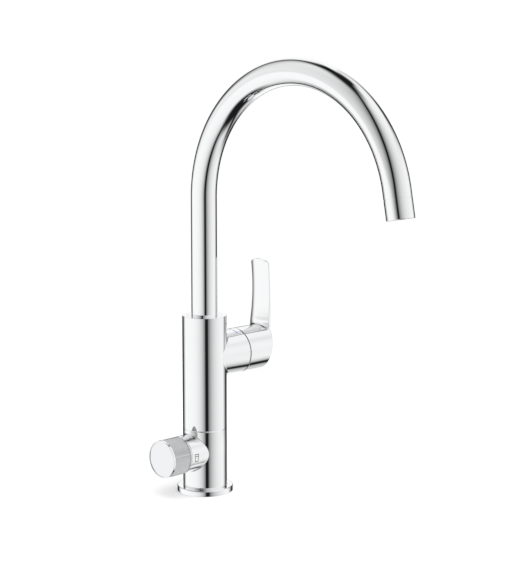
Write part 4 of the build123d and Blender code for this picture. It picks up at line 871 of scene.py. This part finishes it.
arc = cap_radius * np.radians(np.arange(-12, 13, 2.0))
far = back_of(cap_radius * np.sin(arc / cap_radius),
              -cap_radius * np.cos(arc / cap_radius))[0][:, 0] - edge_roll
climb = np.linspace(0, 1, 13)
outer = (np.concatenate([arc[:-1], np.full(12, arc[-1]), arc[:0:-1], np.full(13, arc[0])]),
         np.concatenate([np.full(12, near), (near + climb * (far[-1] - near))[:-1], far[:0:-1],
                         near + climb[::-1] * (far[0] - near)]))
patches.append(round_hole(cap_side, outer, (0, plug_x), plug_rim, 8))
turn = np.linspace(0, 2 * np.pi, 49)
arc, x = plug_rim(turn)
rim_points = cap_side(arc, x)[0]
patches.append((np.stack([rim_points, rim_points + np.array((0, 0, plug_length))]),
                np.stack([-np.sin(turn), -np.cos(turn), 0 * turn], -1) + np.zeros((2, 1, 1))))
hollow_edge = np.sqrt(lever_hollow ** 2 - (cap_start - pivot) ** 2)
inside = [ball(lever_hollow, np.arcsin(hollow_edge / lever_hollow),
               np.arcsin(boss_radius / lever_hollow), -1)]
inside += profile([(hollow_edge, cap_start), (cap_radius, cap_start, cap_lip),
                   (cap_radius, cap_start + cap_lip + 0.001)])
inside += profile([(0, socket_end), (boss_bore, socket_end), (boss_bore, socket_end - 0.001)])
inside += profile([(boss_bore, socket_end), (boss_bore, boss_start), (boss_radius, boss_start, 0.2),
                   (boss_radius, pivot + np.sqrt(lever_hollow ** 2 - boss_radius ** 2))])
lifted = np.array((0, 0, lever_height))
patches = [(p + lifted, n) for p, n in patches] + turned(inside, lifted, to_right, 180)
handle = surface("lever_handle", patches, chrome)
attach(handle, "lever")
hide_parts("lever")

# Lever plug: closes the grub screw's hole in the cap's underside, flush but for its bevel.
radius, turn = np.meshgrid(np.array((0, 1.0, 2.0, 2.2, 2.35, 2.42)),
                           np.linspace(0, 2 * np.pi, 49), indexing="ij")
drop = 0.02 + 0.16 * (np.clip(radius - 2.1, 0, None) / 0.32) ** 2
top, top_normal = cap_side(radius * np.cos(turn), plug_x + radius * np.sin(turn))
top = top - drop[..., None] * top_normal
wall = np.stack([top[-1], top[-1] + np.array((0, 0, plug_length - 0.5))])
plug = surface("lever_plug_bevelled", [
    (top + lifted, top_normal),
    (wall + lifted, np.stack([np.sin(turn[0]), np.cos(turn[0]), 0 * turn[0]], -1)
     + np.zeros((2, 1, 1)))], chrome)
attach(plug, "lever")
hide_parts("lever_plug")

# Spout: a brass tube bent round a wide arc and chrome-plated, straight up, over, and a short
# way down. Its section turns with the middle line.
tube_radius, tube_wall = 11.0, 1.2
tube_foot, straight_top = 143.0, 253.7
arc_radius, arc_angle, tube_tail = 107.0, np.radians(169.45), 5.9


def spout_line(steps):
    """Middle line of the spout and the direction square to it in its plane, foot to tail."""
    bend = np.linspace(0, arc_angle, steps + 1)
    out = np.stack([0 * bend, np.cos(bend), np.sin(bend)], 1)
    arc = np.array((0, -arc_radius, straight_top)) + arc_radius * out
    ahead = np.array((0, -np.sin(arc_angle), np.cos(arc_angle)))
    line = np.concatenate([[(0, 0, tube_foot)], arc, [arc[-1] + (tube_tail - 0.2) * ahead]])
    return line, np.concatenate([out[:1], out, out[-1:]]), ahead


bore = tube_radius - tube_wall
patches = []
for radius, facing, steps in ((tube_radius, 1, 420), (bore, -1, 60)):
    line, out, spout_way = spout_line(steps)
    turn = np.linspace(0, 2 * np.pi, 145)[None, :, None]
    way = np.cos(turn) * np.array((1.0, 0, 0)) + np.sin(turn) * out[:, None]
    patches.append((line[:, None] + radius * way, facing * way))
outlet = line[-1] - (tube_tail - 0.2) * spout_way
down_spout = ((1, 0, 0), tuple(out[-1]), tuple(spout_way))
patches += turned(profile([(tube_radius, tube_tail - 0.2), (tube_radius - 0.2, tube_tail),
                           (bore, tube_tail), (bore, tube_tail - 0.2)]),
                  outlet, down_spout, 144)
patches += turned(profile([(bore, tube_foot), (tube_radius, tube_foot)]), count=144)
tube = surface("spout_pipe", patches, chrome)
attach(tube, "spout")
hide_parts("spout_tube")

# Aerator housing: a chrome sleeve screwed into the tube's end with a fine seam. The insert,
# its mesh and the middle nozzle for filtered water sit just inside its lower rim.
sleeve_end = tube_tail + 16.0
sleeve_bore, sleeve_neck = 8.9, 8.0
sleeve = surface("aerator_sleeve", turned(profile([
    (sleeve_neck, tube_tail), (tube_radius - 0.3, tube_tail), (tube_radius, tube_tail + 0.3),
    (tube_radius, sleeve_end, 0.5), (sleeve_bore, sleeve_end, 0.2), (sleeve_bore, 8.9),
    (sleeve_neck, 8.9), (sleeve_neck, tube_tail)]), outlet, down_spout, 144), chrome)
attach(sleeve, "spout")
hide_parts("aerator_housing")

# Neck ring: a narrow chrome trim on the end of the filter valve's branch.
neck = surface("neck_trim", turned(profile([
    (12.0, 29.0), (branch_radius - 0.2, 29.0), (branch_radius, 29.2), (branch_radius, 30.2, 0.2),
    (12.0, 30.2), (12.0, 29.0)]), (0, 0, knob_height), to_left), chrome)
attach(neck, "tap_body")
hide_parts("neck_ring")

# Tumbler mark: a small outline of a glass in dark enamel on the branch, which shows the knob
# for filtered water. It is a line 0.55 mm wide, printed on the chrome plate.
mark_x, mark_angle, mark_line = -24.0, -2.0, 0.55
glass = np.array([(-2.1, 3.0), (2.1, 3.0), (1.5, -3.2), (-1.5, -3.2), (-2.1, 3.0)])
water = np.array([(-1.9, 1.2), (1.9, 1.2)])
patches = []
for stroke in (glass, water):
    for start, end in zip(stroke[:-1], stroke[1:]):
        ahead = (end - start) / np.linalg.norm(end - start)
        across = np.array((-ahead[1], ahead[0])) * mark_line / 2
        share = np.linspace(0, 1, 9)[:, None, None]
        run = (start - mark_line / 2 * ahead) + share * (end - start + mark_line * ahead)
        run = run + np.array((-1.0, 1.0))[None, :, None] * across
        angle = np.radians(mark_angle) + run[..., 1] / branch_radius
        out = spoke(angle)
        patches.append((np.stack([mark_x + run[..., 0], 0 * angle, knob_height + 0 * angle], -1)
                        + (branch_radius + 0.02) * out, out))
print_ink = moulded("dark_enamel", (0.03, 0.031, 0.033), (0.05, 0.052, 0.055), 0.5, 0.0003, 4e-6)
mark = surface("tumbler_mark", patches, print_ink)
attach(mark, "tap_body")

# Filter knob: a turned brass cup. Its rim in front is polished, and the rest has ninety fine
# flutes with a satin finish, apart from one smooth stripe that shows where it points.
knob_radius, knob_back, knob_front = 16.0, 30.5, 50.2
band = 2.1
flute_count, flute_depth = 90, 0.4
index_angle, index_half = 14.0, 2.6
knob_place = (0, 0, knob_height)


def fluted(angle, along):
    """Radius: knob_radius less depth * (1 - cos(count * angle)) / 2, run out at both ends.

    A groove of 0.3 * exp(-(degrees / 1.1) squared) bounds the smooth stripe on each side.
    """
    off_index = np.abs((np.degrees(angle) - index_angle + 180) % 360 - 180) - index_half
    ends = np.clip(np.minimum(along - knob_back - 0.5, knob_front - band - along) / 0.5, 0, 1)
    share = np.clip(off_index / 0.8, 0, 1) * ends * ends * (3 - 2 * ends)
    groove = 0.3 * ends * np.exp(-(off_index / 1.1) ** 2)
    return knob_radius - groove - share * flute_depth * (1 - np.cos(flute_count * angle)) / 2


angle = np.linspace(0, 2 * np.pi, 1081)[None, :]
along = knob_back + np.concatenate([[0.4, 0.5, 0.6, 0.75, 0.9, 1.0],
                                    np.linspace(1.5, knob_front - band - knob_back - 1.0, 5),
                                    knob_front - band - knob_back
                                    - np.array((0.5, 0.4, 0.25, 0.1, 0))])[:, None]
radius = fluted(angle, along)
tilt_round = (fluted(angle + 1e-4, along) - fluted(angle - 1e-4, along)) / 2e-4 / radius
tilt_along = (fluted(angle, along + 1e-3) - fluted(angle, along - 1e-3)) / 2e-3
out = spoke(angle)
sideways = np.stack([0 * angle, np.sin(angle), np.cos(angle)], -1)
left = np.array((-1.0, 0, 0))
grip = (knob_place + along[..., None] * left + radius[..., None] * out,
        unit(out - tilt_round[..., None] * sideways - tilt_along[..., None] * left))
satin = plated("satin_chrome", (0.64, 0.645, 0.655, 1), 0.07, 0.15, 6e-6)
flutes = surface("knob_grip", [grip] + turned(profile([
    (14.0, knob_back), (knob_radius, knob_back, 0.3), (knob_radius, knob_back + 0.4)]),
    knob_place, to_left, 360), satin)
rim = surface("knob_rim", turned(profile([
    (knob_radius, knob_front - band), (knob_radius, knob_front, 0.4), (15.0, knob_front, 0.1),
    (15.0, 49.0), (14.0, 49.0), (14.0, 47.5), (2.0, 47.5), (2.0, 46.0), (14.0, 46.0),
    (14.0, knob_back)]), knob_place, to_left, 360), chrome)
for made in (flutes, rim):
    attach(made, "filter_knob")
    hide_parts("knob_shell")

# Knob cap: a satin chrome disc pressed into the knob's front, domed by half a millimetre, with
# the faint rings of the tool that faced it. Its back is hidden in the knob and left open.
cap_face, shader, place = new_material("faced_disc")
centred = shader.node("ShaderNodeMapping", None,
                      {"Vector": place, "Location": (0, 0, -knob_height / 1000),
                       "Scale": (0.0, 1.0, 1.0)})
from_axis = shader.node("ShaderNodeVectorMath", {"operation": "LENGTH"}, {0: centred}).out("Value")
ring_pitch = 0.00012
rings = shader.math("SINE", from_axis * (2 * np.pi / ring_pitch))
cloudy = shader.noise(place, 220.0, 3.0)
shade = shader.node("ShaderNodeBsdfPrincipled", None, {
    "Base Color": shader.mix(cloudy, (0.85, 0.855, 0.868, 1), (0.88, 0.885, 0.898, 1)),
    "Metallic": 0.9, "Roughness": 0.2 + 0.06 * cloudy,
    "Normal": shader.node("ShaderNodeBump", None, {
        "Strength": 0.35, "Distance": 0.000004, "Height": rings})})
shader.output(shade)
disc_radius, disc_depth, disc_inset, disc_dome = 14.9, 1.5, 0.05, 0.5
share = np.linspace(1, 0, 17)
crown = (np.stack([disc_radius * share, knob_front - disc_inset - disc_dome * share ** 2], 1),
         unit(np.stack([share / disc_radius, np.ones(17)], 1)))
disc_side = profile([(disc_radius, knob_front - disc_depth),
                     (disc_radius, knob_front - disc_inset - disc_dome)])
cap = surface("knob_disc", turned(disc_side + [crown], knob_place, to_left, 180), cap_face)
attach(cap, "filter_knob")
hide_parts("knob_cap")

# Everything else, inside the tap and below the worktop, keeps its shape from the CAD frame and
# gets its finish here: rubber, metals, plastics, ceramic and hose.
dressed(rubber, "body_o_ring", "pipe_o_rings", "cartridge_seals", "valve_seat_seal",
        "horseshoe_rubber", "spout_o_ring", "aerator_seal", "valve_o_rings")
for *look, nodes in (
        ("machined_brass", (0.60, 0.43, 0.20), (0.70, 0.52, 0.27), 0.28, 0.0005, 1.2e-5,
         1.0, "cartridge_nut valve_body fixing_nut spout_foot valve_spindle"),
        ("zinc_plated_steel", (0.55, 0.56, 0.58), (0.66, 0.67, 0.68), 0.33, 0.0006, 1.2e-5,
         1.0, "fixing_stud horseshoe_plate"),
        ("stainless_steel", (0.58, 0.57, 0.56), (0.66, 0.65, 0.64), 0.22, 0.0003, 6e-6,
         1.0, "body_grub_screw swivel_stop_screw aerator_mesh pivot_pin spindle "
              "lever_grub_screw knob_screw"),
        ("drawn_copper", (0.72, 0.40, 0.29), (0.80, 0.47, 0.35), 0.25, 0.0008, 8e-6,
         1.0, "hot_pipe cold_pipe filter_riser"),
        ("white_plastic", (0.78, 0.78, 0.76), (0.84, 0.84, 0.82), 0.42, 0.0003, 1e-5,
         "upper_bush lower_bush cartridge_base hose_coupling filter_nozzle cartridge_rotor"),
        ("grey_plastic", (0.27, 0.28, 0.30), (0.33, 0.34, 0.36), 0.42, 0.0003, 1e-5,
         "cartridge_housing aerator_insert disc_carrier"),
        ("black_plastic", (0.025, 0.025, 0.027), (0.04, 0.04, 0.042), 0.4, 0.0003, 1e-5,
         "knob_adapter"),
        ("ground_ceramic", (0.80, 0.79, 0.76), (0.88, 0.87, 0.85), 0.16, 0.0002, 3e-6,
         "fixed_disc moving_disc valve_fixed_disc valve_turning_disc")):
    dressed(moulded(*look), *nodes.split())
dressed(moulded("milky_hose", (0.74, 0.76, 0.78), (0.82, 0.84, 0.85), 0.35, 0.0006, 1e-5,
                **{"Subsurface Weight": 0.15, "Subsurface Scale": 0.002}), "filter_hose")
